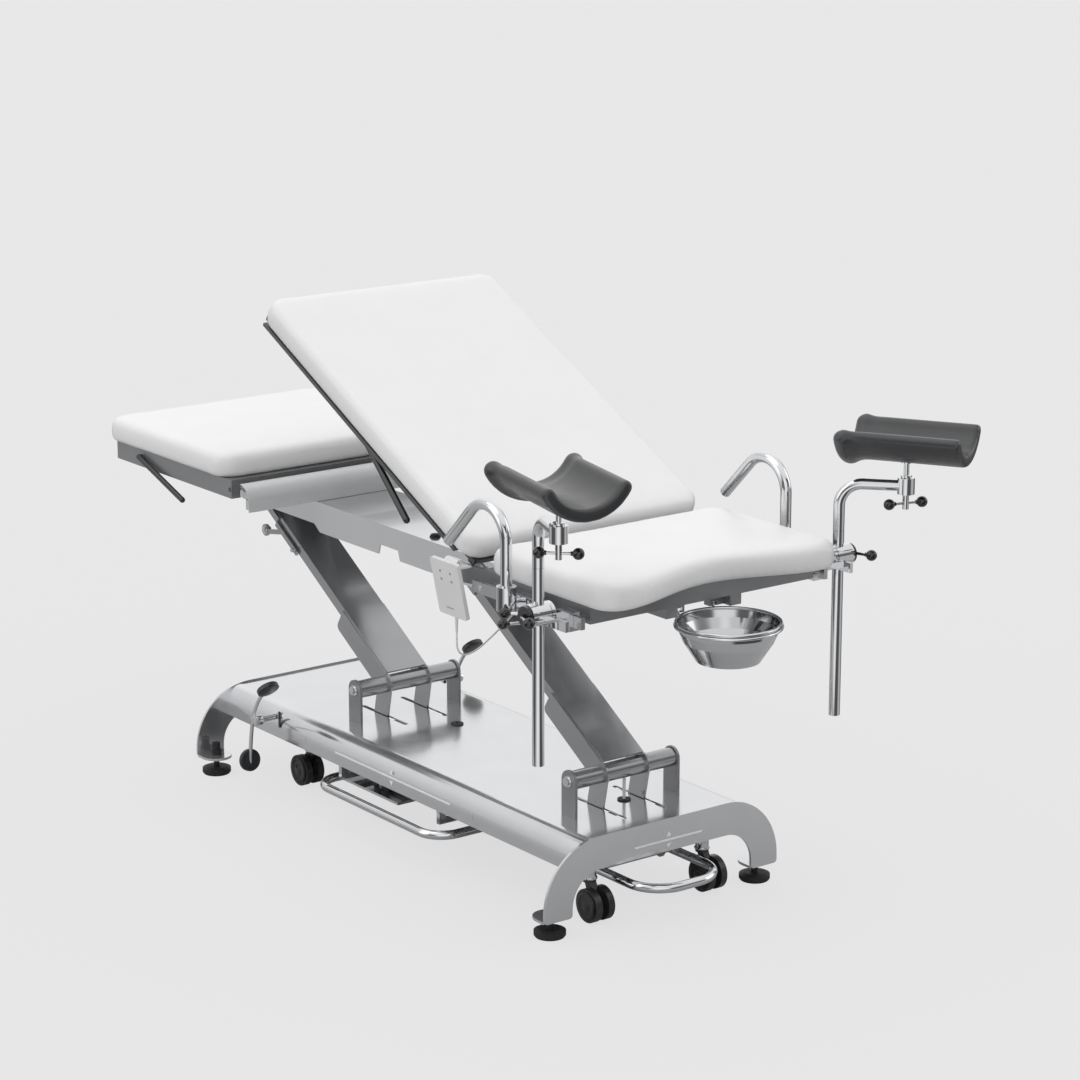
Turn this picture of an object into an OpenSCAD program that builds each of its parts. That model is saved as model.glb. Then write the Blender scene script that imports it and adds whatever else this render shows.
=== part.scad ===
// Gynaecological examination table on a parallelogram lift.
// Millimetres, +Z up. Origin: centre of the base, on the floor.
// +X points to the seat and leg-holder end, -Y is the side with the handset.

/* [Base] */
// Length of the deck shell
base_len = 1416; // [1380:1:1480]
// Width of the deck shell
base_w = 486; // [470:1:520]
// Height of the deck's top face
deck_z = 207; // [203:1:215]
// Height of the deck shell's folded side wall
shell_h = 69; // [62:1:74]
// Thickness of the base sheet metal
sheet = 4; // [3:0.5:5]
// Radius of the deck's long edges
edge_r = 46; // [35:1:50]
// Width over the legs of an end arch
arch_w = 650; // [630:1:680]
// Thickness of an end arch
arch_t = 6; // [5:0.5:8]
// Outer radius of an arch's shoulder
arch_r = 150; // [145:1:155]
// Depth of the arch's band
arch_band = 75; // [70:1:80]
// Rise of the arch's flat above the deck
arch_rise = 4; // [2:0.5:8]
// Height of the folded foot tab above the floor
tab_z = 41; // [38:1:46]
// Diameter of a levelling foot
foot_d = 70; // [60:1:74]
// Height of a levelling foot's disc
foot_h = 18; // [14:1:20]
// Diameter of a levelling foot's stem
stem_d = 14; // [12:1:16]

/* [Lift] */
// Distance of the front arm's lower pivot from the centre
pivot_x = 562; // [550:1:570]
// Distance between the lower pivots of the two arms
pivot_gap = 837; // [825:1:845]
// Height of the lower pivots
pivot_z = 286; // [280:1:300]
// Lean of the arms above the horizontal
arm_tilt = 32; // [30:0.5:34]
// Distance between the two pivots of an arm
arm_len = 668; // [660:1:676]
// Width over the flanges of an arm
arm_w = 110; // [104:1:112]
// Thickness of the arm's channel
arm_t = 5; // [4:0.5:6]
// Height of the arm's web above its pivot line
web_up = 30; // [28:0.5:34]
// Depth of the arm's flanges
flange_d = 26; // [22:1:30]
// Length of the doubler plates along the arm
doubler_len = 225; // [180:1:260]
// Thickness of the doubler plates and tails
tail_t = 5; // [4:0.5:6]
// Width of a tail plate
tail_w = 55; // [48:1:58]
// Length of a tail below its pivot
tail_len = 138; // [134:1:144]
// Lean of the tails away from the vertical
tail_lean = 12; // [9:0.5:14]
// Depth of the drive pins below the lower pivots
drive_drop = 111; // [108:1:113]
// Diameter of the drive pins
drive_pin_d = 12; // [10:1:14]
// Width of the slots that the tails swing in
slot_w = 12; // [9:1:14]
// Diameter of the cross tubes at the lower pivots
tube_d = 42.4; // [38:0.1:46]
// Diameter of the arm's pivot bolts
pivot_d = 16; // [14:1:20]
// Distance between the upright plates
upright_gap = 280; // [270:1:290]
// Thickness of an upright plate
upright_t = 6; // [5:0.5:8]
// Width of an upright plate
upright_w = 50; // [46:1:56]

/* [Top frame] */
// Half width of the tray channel
tray_hw = 108; // [104:1:114]
// Half width of the narrower tail channel
boom_hw = 72; // [70:1:76]
// Sheet thickness of the tray
tray_t = 4; // [3:0.5:5]
// Depth of the tray
tray_d = 74; // [70:1:80]
// Width of the seat frame
seat_frame_w = 608; // [590:1:620]
// Depth of the seat frame's panels
seat_frame_d = 38; // [32:1:38]
// Half distance from the centre to the inner face of a side rail
rail_y = 325; // [322:1:330]
// Thickness of a side rail
rail_t = 10; // [8:1:12]
// Height of a side rail
rail_h = 25; // [20:1:30]
// Length of a side rail
rail_len = 380; // [360:1:400]

/* [Cushions] */
// Width of the cushions
cushion_w = 650; // [630:1:670]
// Thickness of the cushions
cushion_t = 60; // [50:1:62]
// Length of the backrest cushion
back_len = 923; // [880:1:930]
// Length of the head-end cushion
head_len = 580; // [560:1:590]
// Length of the seat cushion at its lobes
seat_len = 428; // [420:1:440]
// Depth of the recess in the seat's front edge
seat_recess = 60; // [40:1:70]
// Corner radius of the cushions in plan
corner_r = 48; // [40:1:60]
// Lean of the backrest above the horizontal
back_tilt = 26.8; // [22:0.2:30]
// Thickness of the backrest's frame
back_frame_t = 10; // [8:1:11]

/* [Leg holders] */
// Diameter of the poles
pole_d = 25; // [22:1:28]
// Distance of a pole from the middle plane
pole_y = 408; // [404:1:414]
// Place of the poles along the table
pole_x = 802; // [790:1:815]
// Height of the near pole's lower end
pole_low = 440; // [420:1:500]
// Height of the near pole's upper end
pole_top = 860; // [840:1:870]
// Drop of the far pole against the near one
far_drop = 46; // [20:1:60]
// Height from the upper end of a pole to its swing arm's axis
swing_rise = 105; // [90:1:115]
// Reach of the swing arm
swing_len = 143; // [130:1:165]
// Bend radius of the swing arm
swing_r = 50; // [40:1:60]
// Direction of the near swing arm
near_swing = -20.5; // [-60:0.5:30]
// Direction of the far swing arm
far_swing = 43; // [-30:0.5:60]
// Direction of the near crutch
near_crutch = -12.5; // [-60:0.5:60]
// Direction of the far crutch
far_crutch = 31; // [-60:0.5:60]
// Diameter of a crutch's head block
block_d = 38; // [34:1:44]
// Height of a crutch's head block
block_h = 36; // [32:1:44]
// Inner radius of the crutch trough
crutch_r = 80; // [74:1:90]
// Wall of the crutch trough
crutch_t = 28; // [22:1:32]
// Length of a crutch
crutch_len = 257; // [235:1:275]
// Half angle of the crutch trough
crutch_arc = 61; // [55:1:72]
// Diameter of the black ball knobs
knob_d = 24; // [20:1:28]

/* [Grips] */
// Diameter of the grip tubes
grip_d = 25; // [22:1:28]
// Distance of a grip from the middle plane
grip_y = 375; // [370:1:380]
// Place of the near grip along the rail
grip_x = 648; // [640:1:670]
// Drop from a grip's bend to its free end
grip_hook = 120; // [90:1:140]
// Bend radius of the grips
grip_r = 71; // [60:1:80]

/* [Bowl] */
// Diameter of the bowl over its rim
bowl_d = 227; // [210:1:240]
// Height of the bowl
bowl_h = 88; // [80:1:92]
// Diameter of the bowl's base
bowl_base = 143; // [125:1:155]
// Wall of the bowl
bowl_t = 2; // [1.5:0.5:3]

/* [Castors and foot bars] */
// Diameter of a castor's wheels
wheel_d = 76; // [72:1:77]
// Width of one castor wheel
wheel_w = 16; // [14:1:20]
// Distance between the left and right castors
castor_gap = 316; // [300:1:320]
// Ground clearance of the castors while the table stands on its feet
wheel_clear = 3; // [2:0.5:6]
// Diameter of the foot bars
foot_bar_d = 21; // [18:1:24]
// Height of the foot bars above the floor
foot_bar_z = 91; // [91:1:100]

/* [Handset] */
// Width of the handset
handset_w = 100; // [90:1:110]
// Height of the handset
handset_h = 130; // [120:1:140]
// Thickness of the handset
handset_t = 9; // [8:1:14]

/* [Fits] */
// Radial clearance of shafts in their bores
run_fit = 0.05; // [0.02:0.01:0.1]
// Gap between pieces that pass each other
gap = 0.5; // [0.3:0.1:1]

/* [Hidden] */
$fn = 48;

// Base heights and planes
half_base = base_len / 2;
half_base_w = base_w / 2;
shell_low = deck_z - shell_h;
arch_out = half_base + arch_t;
arch_top = deck_z + arch_rise;
arch_cy = arch_w / 2 - arch_r;
arch_cz = arch_top - arch_r;
leg_y = arch_w / 2 - arch_band / 2;
foot_x = arch_out - arch_band / 2 + 6;

// Lift geometry
pivots = [pivot_x, pivot_x - pivot_gap];
tail_y = arm_w / 2 + tail_t / 2;
ear_y = arm_w / 2 + tail_t;
drive_z = pivot_z - drive_drop;
drive_dx = drive_drop * tan(tail_lean);
top_x = pivot_x - arm_len * cos(arm_tilt);
top_z = pivot_z + arm_len * sin(arm_tilt);
top_pin_d = 20;
ear_r = 26;
lug_t = 6;

// Everything that the arms carry is drawn round the front arm's top pivot
tray_low = -13;
tray_top = tray_low + tray_d;
bearer_h = 29.7;
frame_low = tray_top + bearer_h;
frame_top = frame_low + seat_frame_d;
cushion_z = frame_top + 0.3;
hinge_x = 444.5;
hinge_z = 118;
hinge_pin_d = 12;
rail_x = 474.5;
rail_z = 86;
head_x = -551.5;
head_z = 105;
seat_x = 498.5;
pad_crown = 3.5;

// Leg holders
clamp_z = 122;
barrel_d = 49;
barrel_len = 56;
spigot_d = 16;
neck_d = 12;
crutch_rise = 53;
crutch_shift = -10.5;
grip_clamp_z = 90;

// Base details
guide_x = [pivot_x + 30, pivot_x - pivot_gap - 110];
guide_d = 10;
rocker_x = 200;
end_bar_x = pivot_x + 38;
end_bar_y = 78;
grommet_d = 22;
grommet_x = -116;
cable_d = 7;
cable_hole = cable_d + 1;

// Drive under the deck
actuator_x = pivots[1] + 62;
rod_d = 18;
bar_y = 36;
bar_t = 12;

// Castors and their pedal
castor_y = castor_gap / 2;
axle_z = wheel_d / 2 + wheel_clear;
castor_stem_d = 16;
beam_z = 144;
beam_h = 24;
castor_trail = 22;
wheel_x = [base_len / 2 - 33, -470];
fork_x = [wheel_x[0] - castor_trail, wheel_x[1] + castor_trail];
trail = [castor_trail, -castor_trail];
pedal_x = -472;
pedal_z = deck_z - 17;
pedal_shaft_d = 14;
roller_r = 12;
roller_reach = 38;
roller_drop = beam_z + beam_h + 0.8 + roller_r - pedal_z;

// Bowl and its carrier
bowl_x = 922.5;
bowl_top = 66;
bowl_rim = 4;
ring_r = bowl_d / 2 - 1;
ring_z = bowl_top - 2 * bowl_rim - 2.7;
slide_y = 48;
bar_low = 72;
bar_w = 14;
bar_h = 6;

// Seat pad
seat_lobe = cushion_w / 2 - 55;

// Handset and the route of its cord, from the strain relief to the tray
handset_lean = 11.6;
cord_d = 4;
cord_route = [[414.5, -333, -20], [414.5, -333, -36], [414, -332, -53], [413, -326, -67],
    [412, -312, -75], [411, -294, -75], [408, -266, -67], [404, -235, -51], [400, -200, -32],
    [395, -170, -13], [391, -145, 6], [388.5, -125, 16], [387.5, -116, 20], [387, -108, 22]];

// Shapes that repeat

// A side outline (X across, Z up), from y0 to y1
module side(y0, y1) {
    translate([0, y1, 0]) rotate([90, 0, 0]) linear_extrude(y1 - y0) children();
}

// A front outline (Y across, Z up), from x0 to x1
module front(x0, x1) {
    translate([x0, 0, 0]) rotate([90, 0, 90]) linear_extrude(x1 - x0) children();
}

// The same piece at both sides of the middle plane
module both() {
    children();
    mirror([0, 1, 0]) children();
}

// A cylinder along Y from y0 to y1
module rod_y(d, y0, y1) {
    translate([0, y1, 0]) rotate([90, 0, 0]) cylinder(d = d, h = y1 - y0);
}

// A cylinder along X from x0 to x1
module rod_x(d, x0, x1) {
    translate([x0, 0, 0]) rotate([0, 90, 0]) cylinder(d = d, h = x1 - x0);
}

// A rectangle with round corners, its lower left corner at the origin
module round_rect(w, h, r) {
    translate([r, 0]) square([w - 2 * r, h]);
    translate([0, r]) square([w, h - 2 * r]);
    for (x = [r, w - r]) {
        for (y = [r, h - r]) {
            translate([x, y]) circle(r);
        }
    }
}

// A quarter bend of round bar that starts along +Z and ends along +X
module bend(d, r) {
    translate([r, 0, 0]) rotate([90, 0, 0]) rotate_extrude(angle = -90)
        translate([-r, 0]) circle(d = d);
}

// A ball knob
module knob(d) {
    sphere(d = d, $fn = 32);
}

// Places a piece that rides on the lift
module lifted() {
    translate([top_x, 0, top_z]) children();
}

// Base

// The deck's rounded section
module deck_section(hw, low, top, r) {
    translate([-hw, low]) square([2 * hw, top - r - low]);
    translate([-(hw - r), low]) square([2 * (hw - r), top - low]);
    for (s = [-1, 1]) {
        translate([s * (hw - r), top - r]) intersection() {
            circle(r);
            translate([-r, 0]) square([2 * r, r]);
        }
    }
}

module tail_slot(px) {
    for (x = [px - 100 + slot_w / 2, px + 90 - slot_w / 2]) {
        translate([x, tail_y, deck_z - 20]) cylinder(d = slot_w, h = 40);
    }
    translate([px - 100 + slot_w / 2, tail_y - slot_w / 2, deck_z - 20])
        cube([190 - slot_w, slot_w, 40]);
}

module base_shell() {
    color([0.62, 0.62, 0.63]) {
        difference() {
            front(-half_base, half_base)
                deck_section(half_base_w, shell_low, deck_z, edge_r);
            front(-half_base - 1, half_base + 1)
                deck_section(half_base_w - sheet, shell_low + sheet, deck_z - sheet,
                    edge_r - sheet);
            translate([-half_base - 1, 24 - half_base_w, shell_low - 1])
                cube([base_len + 2, base_w - 48, sheet + 2]);
            for (px = pivots) {
                both() tail_slot(px);
            }
            translate([pivot_x - 12, 18, deck_z - 20]) cylinder(d = grommet_d, h = 40);
            translate([grommet_x, 40, deck_z - 20]) cylinder(d = grommet_d, h = 40);
            translate([pedal_x, 0, pedal_z])
                rod_y(pedal_shaft_d + 2 * run_fit, -half_base_w - 1, half_base_w + 1);
            for (x = [-341, 341]) {
                translate([x - 1, -half_base_w - 1, shell_low + 18]) cube([2, 2, 39]);
            }
        }
        guide_sleeves();
        rocker_hangers();
        end_bar_hangers();
    }
}

// Sleeves under the deck that guide the castor frame's posts
module guide_sleeves() {
    for (x = guide_x) {
        both() translate([x, castor_y + 23, deck_z - sheet - 24]) difference() {
            cylinder(d = guide_d + 12, h = 24);
            translate([0, 0, -1]) cylinder(d = guide_d + 2 * run_fit, h = 26);
        }
    }
}

// Cross bars under the shell with a bearing for the side foot bars' spine
module rocker_hangers() {
    for (x = [-rocker_x, rocker_x]) {
        front(x - 6, x + 6) difference() {
            union() {
                translate([-half_base_w + 4, foot_bar_z + 14]) square([base_w - 8, 12]);
                for (s = [-1, 1]) {
                    translate([s * (half_base_w - 13) - 9, foot_bar_z + 14])
                        square([18, shell_low - foot_bar_z - 14]);
                }
                translate([0, foot_bar_z]) circle(18);
                translate([-18, foot_bar_z]) square([36, 20]);
            }
            translate([0, foot_bar_z]) circle(d = foot_bar_d + 2 * run_fit);
        }
    }
}

// Plates under the deck that carry the end foot bar
module end_bar_hangers() {
    both() side(-end_bar_y - 6, -end_bar_y) difference() {
        union() {
            translate([end_bar_x - 14, foot_bar_z]) square([28, deck_z - sheet - foot_bar_z]);
            translate([end_bar_x, foot_bar_z]) circle(16);
        }
        translate([end_bar_x, foot_bar_z]) circle(d = foot_bar_d + 2 * run_fit);
    }
}

module arch_outline() {
    inner = arch_r - arch_band;
    translate([-arch_cy, arch_top - arch_band]) square([2 * arch_cy, arch_band]);
    for (s = [0, 1]) {
        mirror([s, 0]) translate([arch_cy, 0]) {
            translate([0, arch_cz]) intersection() {
                difference() {
                    circle(arch_r, $fn = 96);
                    circle(inner, $fn = 96);
                }
                square(arch_r + 1);
            }
            translate([inner, tab_z + 8]) square([arch_band, arch_cz - tab_z - 8]);
            translate([inner, tab_z]) round_rect(arch_band, 17, 8);
        }
    }
}

module foot_tab() {
    difference() {
        union() {
            translate([foot_x, leg_y, tab_z]) cylinder(d = arch_band, h = arch_t);
            translate([foot_x, leg_y - arch_band / 2, tab_z])
                cube([half_base - foot_x, arch_band, arch_t]);
        }
        translate([foot_x, leg_y, tab_z - 1]) cylinder(d = stem_d + 2 * run_fit, h = arch_t + 2);
        translate([half_base, 0, 0]) cube([50, arch_w, 200]);
    }
}

module end_arches() {
    color([0.62, 0.62, 0.63]) {
        for (s = [0, 1]) {
            mirror([s, 0, 0]) {
                front(half_base, arch_out) arch_outline();
                both() foot_tab();
            }
        }
    }
}

module levelling_foot() {
    cylinder(d1 = foot_d - 6, d2 = foot_d, h = 4);
    translate([0, 0, 4]) cylinder(d = foot_d, h = foot_h - 8);
    translate([0, 0, foot_h - 4]) cylinder(d1 = foot_d, d2 = foot_d - 20, h = 4);
    cylinder(d = stem_d, h = tab_z + arch_t + 28);
    translate([0, 0, tab_z - 10]) cylinder(d = 24, h = 10, $fn = 6);
    translate([0, 0, tab_z + arch_t]) cylinder(d = 24, h = 12, $fn = 6);
    translate([0, 0, tab_z + arch_t + 12]) cylinder(d = 20, h = 18);
}

module levelling_feet() {
    color([0.1, 0.1, 0.1]) {
        for (x = [-foot_x, foot_x]) {
            for (y = [-leg_y, leg_y]) {
                translate([x, y, 0]) levelling_foot();
            }
        }
    }
}

module pivot_uprights() {
    color([0.5, 0.5, 0.51]) {
        for (px = pivots) {
            both() difference() {
                side(-upright_gap / 2 - upright_t, -upright_gap / 2) difference() {
                    union() {
                        translate([px, pivot_z]) circle(d = upright_w);
                        translate([px - upright_w / 2, deck_z])
                            square([upright_w, pivot_z - deck_z]);
                    }
                    translate([px, pivot_z]) circle(d = pivot_d + 2 * run_fit);
                }
            }
        }
    }
}

module pivot_bolts() {
    color([0.8, 0.8, 0.82]) {
        for (px = pivots) {
            translate([px, 0, pivot_z]) both() {
                rod_y(pivot_d, -upright_gap / 2 - upright_t, -upright_gap / 2 + 32);
                rod_y(26, -upright_gap / 2 - upright_t - 3, -upright_gap / 2 - upright_t);
                rod_y(20, -upright_gap / 2 - upright_t - 9, -upright_gap / 2 - upright_t - 3);
            }
        }
    }
}

module plate_grommets() {
    color([0.08, 0.08, 0.08]) {
        for (p = [[pivot_x - 12, 18], [grommet_x, 40]]) {
            translate([p[0], p[1], deck_z]) difference() {
                union() {
                    cylinder(d = grommet_d + 8, h = 3);
                    translate([0, 0, -sheet]) cylinder(d = grommet_d, h = sheet);
                }
                translate([0, 0, -sheet - 1]) cylinder(d = cable_hole, h = sheet + 5);
            }
        }
    }
}

module actuator_housing() {
    color([0.25, 0.25, 0.26]) difference() {
        union() {
            translate([0, 0, drive_z]) rod_x(46, actuator_x, actuator_x + 400);
            translate([actuator_x - 6, -30, drive_z - 26]) cube([76, 60, 50]);
            for (x = [actuator_x + 10, actuator_x + 360]) {
                translate([x, -22, drive_z]) cube([24, 44, deck_z - sheet - drive_z]);
            }
        }
        translate([0, 0, drive_z]) rod_x(rod_d + 2 * run_fit, actuator_x + 90, actuator_x + 401);
    }
}

// Two bars tie the tails together, and a crosshead joins them to the actuator's rod
module drive_link() {
    cross_x = pivot_x - 220;
    color([0.45, 0.45, 0.46]) {
        both() {
            side(bar_y, bar_y + bar_t) {
                translate([pivots[1] - drive_dx, drive_z - 10])
                    square([pivot_gap, 20]);
                for (px = pivots) {
                    translate([px - drive_dx, drive_z]) circle(14);
                }
            }
        }
        for (px = pivots) {
            translate([px - drive_dx, 0, drive_z])
                rod_y(drive_pin_d, -ear_y - 8, ear_y + 8);
        }
        translate([cross_x, -bar_y, drive_z - 12]) cube([20, 2 * bar_y, 24]);
        translate([0, 0, drive_z]) rod_x(rod_d, actuator_x + 190, cross_x);
    }
}

// Lift arms, drawn with their lower pivot at the origin

// Turns the arm's own line, along +X with its web above, to its lean
module along_arm() {
    rotate([0, arm_tilt, 0]) mirror([1, 0, 0]) children();
}

// Side outline of a doubler plate in the arm's own line
module doubler_outline() {
    low = web_up - flange_d - 32;
    translate([0, low]) square([doubler_len - 14, web_up - 4 - low]);
    translate([doubler_len - 30, low + 14]) square([30, web_up - 4 - low - 14]);
    translate([doubler_len - 14, low + 14]) circle(14);
}

// Side outline of a tail, in the table's own directions
module tail_outline() {
    hw = tail_w / 2;
    rotate(-tail_lean) {
        translate([-hw, 20 - tail_len]) square([tail_w, tail_len - 8]);
        translate([8 - hw, -tail_len]) square([tail_w - 28, 21]);
        translate([-hw, 8 - tail_len]) square([9, 13]);
        translate([8 - hw, 8 - tail_len]) circle(8);
        translate([hw - 20, 20 - tail_len]) circle(20);
    }
}

// Slot in a tail for the drive pin
module tail_pin_slot() {
    w = drive_pin_d + 7;
    rotate(-tail_lean) {
        for (z = [-drive_drop + 1, -drive_drop - 13]) {
            translate([0, z]) circle(d = w);
        }
        translate([-w / 2, -drive_drop - 13]) square([w, 14]);
    }
}

// Turns a side outline from the table's directions to the arm's own line
module to_arm() {
    rotate(-arm_tilt) mirror([1, 0]) children();
}

// Side outline of the plates outside the channel's flanges: doubler and tail in one
module side_plate() {
    difference() {
        union() {
            doubler_outline();
            circle(d = 58);
            to_arm() tail_outline();
        }
        to_arm() tail_pin_slot();
    }
}

// Side outline of the ears at the arm's upper end
module ear_outline() {
    difference() {
        union() {
            translate([arm_len, 0]) circle(ear_r);
            translate([arm_len - 110, 7]) square([110, web_up - 12]);
            translate([arm_len - 38, -7]) square([38, 20]);
        }
        translate([arm_len, 0]) circle(d = top_pin_d + 2 * run_fit);
    }
}

module lift_arm() {
    difference() {
        union() {
            along_arm() {
                translate([10, -arm_w / 2, web_up - arm_t]) cube([arm_len - 22, arm_w, arm_t]);
                both() side(-arm_w / 2, -arm_w / 2 + arm_t)
                    translate([24, web_up - flange_d]) square([arm_len - 36, flange_d]);
                both() side(-ear_y, -arm_w / 2) side_plate();
                both() side(-ear_y, -arm_w / 2) ear_outline();
            }
            rod_y(tube_d, -upright_gap / 2 + gap, upright_gap / 2 - gap);
        }
        both() rod_y(pivot_d + 2 * run_fit, -upright_gap / 2 - 1, -upright_gap / 2 + 32 + gap);
        rod_y(tube_d - 6, -upright_gap / 2 + 36, upright_gap / 2 - 36);
    }
}

module front_arm() {
    color([0.66, 0.66, 0.67]) translate([pivots[0], 0, pivot_z]) lift_arm();
}

module rear_arm() {
    color([0.66, 0.66, 0.67]) translate([pivots[1], 0, pivot_z]) {
        lift_arm();
        along_arm() strip_bracket();
    }
}

// Lug and strip welded under the rear arm's near side
module strip_bracket() {
    side(-arm_w / 2 - 6, -arm_w / 2) difference() {
        union() {
            translate([450, web_up - flange_d - 6]) square([110, 14]);
            translate([588, -44]) circle(15);
            translate([520, web_up - flange_d]) rotate(-42) square([94, 12]);
        }
        translate([588, -44]) circle(d = 17);
    }
}

// Lead from the front arm's tube to the deck's grommet
module arm_cable() {
    color([0.75, 0.75, 0.75]) translate([pivot_x - 12, 18, deck_z - 18])
        cylinder(d = cable_d, h = pivot_z - tube_d / 2 - deck_z + 16.5);
}

// Castors

module castor_frame() {
    color([0.3, 0.3, 0.31]) difference() {
        union() {
            for (x = fork_x) {
                translate([x - 20, -castor_y - 30, beam_z]) cube([40, castor_gap + 60, beam_h]);
            }
            both() translate([fork_x[1] + 20, castor_y + 16, beam_z])
                cube([fork_x[0] - fork_x[1] - 40, 14, beam_h]);
            for (x = guide_x) {
                both() translate([x, castor_y + 23, beam_z])
                    cylinder(d = guide_d, h = deck_z - sheet - beam_z - 4);
            }
        }
        for (x = fork_x) {
            both() translate([x, castor_y, beam_z - 1])
                cylinder(d = castor_stem_d + 2 * run_fit, h = beam_h + 2);
        }
    }
}

// Fork with its stem on the swivel axis; the axle trails by t along X
module castor_fork_at(x, y, t) {
    color([0.1, 0.1, 0.1]) translate([x, y, axle_z]) {
        side(-8, 8) {
            translate([t, 0]) circle(r = 18);
            hull() {
                translate([t * 1.2, 0]) circle(r = 12, $fn = 32);
                translate([-10, 50]) square([20, 4]);
            }
        }
        translate([t, 0, 0]) rod_y(10, -24, 24);
        translate([0, 0, 46]) cylinder(d = 30, h = beam_z - axle_z - 46 - gap);
        translate([0, 0, 46]) cylinder(d = castor_stem_d, h = beam_z + beam_h - axle_z - 46);
    }
}

module castor_wheels_at(x, y, t) {
    inner = 8 + gap;
    outer = inner + wheel_w;
    color([0.13, 0.13, 0.13]) translate([x + t, y, axle_z]) difference() {
        union() {
            both() difference() {
                rod_y(wheel_d, -outer, -inner);
                rod_y(wheel_d - 28, -outer - 1, -outer + 3);
            }
            both() rod_y(16, -outer - 2, -outer + 4);
        }
        rod_y(10 + 2 * run_fit, -24 - gap, 24 + gap);
    }
}

module castor_fork_1() { castor_fork_at(fork_x[0], -castor_y, trail[0]); }
module castor_fork_2() { castor_fork_at(fork_x[0], castor_y, trail[0]); }
module castor_fork_3() { castor_fork_at(fork_x[1], -castor_y, trail[1]); }
module castor_fork_4() { castor_fork_at(fork_x[1], castor_y, trail[1]); }
module castor_wheels_1() { castor_wheels_at(fork_x[0], -castor_y, trail[0]); }
module castor_wheels_2() { castor_wheels_at(fork_x[0], castor_y, trail[0]); }
module castor_wheels_3() { castor_wheels_at(fork_x[1], -castor_y, trail[1]); }
module castor_wheels_4() { castor_wheels_at(fork_x[1], castor_y, trail[1]); }

// A round bar through three points of a pedal's bar, as straight stretches with ball corners
module bar_between(a, b, d) {
    v = b - a;
    l = norm(v);
    translate(a) rotate([0, acos(v[2] / l), atan2(v[1], v[0])]) cylinder(d = d, h = l);
}

// Pads, bar and roller lever at one side of the castor pedal
module pedal_side() {
    y = -300;
    up = [pedal_x + 18, y, pedal_z + 60];
    mid = [pedal_x - 15, y, pedal_z];
    low = [pedal_x - 28, y, pedal_z - 80];
    pad_up = [pedal_x + 50, y, pedal_z + 91];
    pad_low = [pedal_x - 33, y, pedal_z - 104];
    for (p = [[up, mid], [mid, low], [up, pad_up], [low, pad_low]]) {
        bar_between(p[0], p[1], 10);
    }
    for (p = [up, mid, low]) {
        translate(p) sphere(d = 12.5, $fn = 32);
    }
    translate(pad_up) rotate([0, 45, 0]) cylinder(d = 55, h = 15);
    translate(pad_low - [7, 0, 8]) rotate([0, 82, 0]) cylinder(d = 55, h = 15);
    translate([pedal_x, 0, pedal_z]) {
        rod_y(26, y - 8, y + 12);
        translate([-18, y - 4, -5]) cube([18, 8, 10]);
        side(-136, -124) {
            circle(12);
            translate([0, -9]) square([roller_reach, 12]);
            translate([roller_reach, roller_drop]) circle(roller_r);
        }
    }
}

// One shaft across the base, with a roller lever that presses the castor frame down
module castor_pedal() {
    color([0.15, 0.15, 0.15]) {
        translate([pedal_x, 0, pedal_z]) rod_y(pedal_shaft_d, -300, 300);
        both() pedal_side();
    }
}

// Foot bars

module side_foot_bar() {
    out_y = 278;
    in_y = 150;
    x0 = -250;
    x1 = 245;
    r = 60;
    translate([0, 0, foot_bar_z]) {
        color([0.8, 0.8, 0.82]) {
            both() {
                rod_at(x0 + r, x1 - r, -out_y);
                for (c = [[x0 + r, 180], [x1 - r, 270]]) {
                    translate([c[0], r - out_y, 0]) rotate([0, 0, c[1]])
                        rotate_extrude(angle = 90) translate([r, 0]) circle(d = foot_bar_d);
                }
                for (x = [x0, x1]) {
                    translate([x, 0, 0]) rod_y(foot_bar_d, r - out_y, 0);
                }
            }
            rod_at(x0, x1, 0);
        }
        color([0.2, 0.2, 0.2]) both() translate([x0, -in_y - 62, -3]) cube([250, 62, 6]);
    }
}

module rod_at(x0, x1, y) {
    translate([0, y, 0]) rod_x(foot_bar_d, x0, x1);
}

module end_foot_bar() {
    x_out = 805;
    hw = 105;
    r = 80;
    color([0.8, 0.8, 0.82]) translate([0, 0, foot_bar_z]) {
        both() {
            rod_at(end_bar_x, x_out - r, -hw);
            translate([x_out - r, r - hw, 0]) rotate([0, 0, -90])
                rotate_extrude(angle = 90) translate([r, 0]) circle(d = foot_bar_d);
        }
        translate([x_out, 0, 0]) rod_y(foot_bar_d, r - hw, hw - r);
        translate([end_bar_x, 0, 0]) rod_y(foot_bar_d, -hw - foot_bar_d / 2, hw + foot_bar_d / 2);
    }
}

// Top frame, drawn round the front arm's top pivot

module tray_side_outline() {
    difference() {
        translate([-570.5, tray_low]) square([955, tray_d]);
        polygon([[-571.5, tray_low - 1], [-571.5, tray_top + 1], [-570.5, tray_top],
            [-468.5, tray_low], [-468.5, tray_low - 1]]);
        polygon([[-218.5, tray_low - 1], [-210.5, tray_low + 24], [-136.5, tray_low + 24],
            [-128.5, tray_low - 1]]);
    }
}

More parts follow.
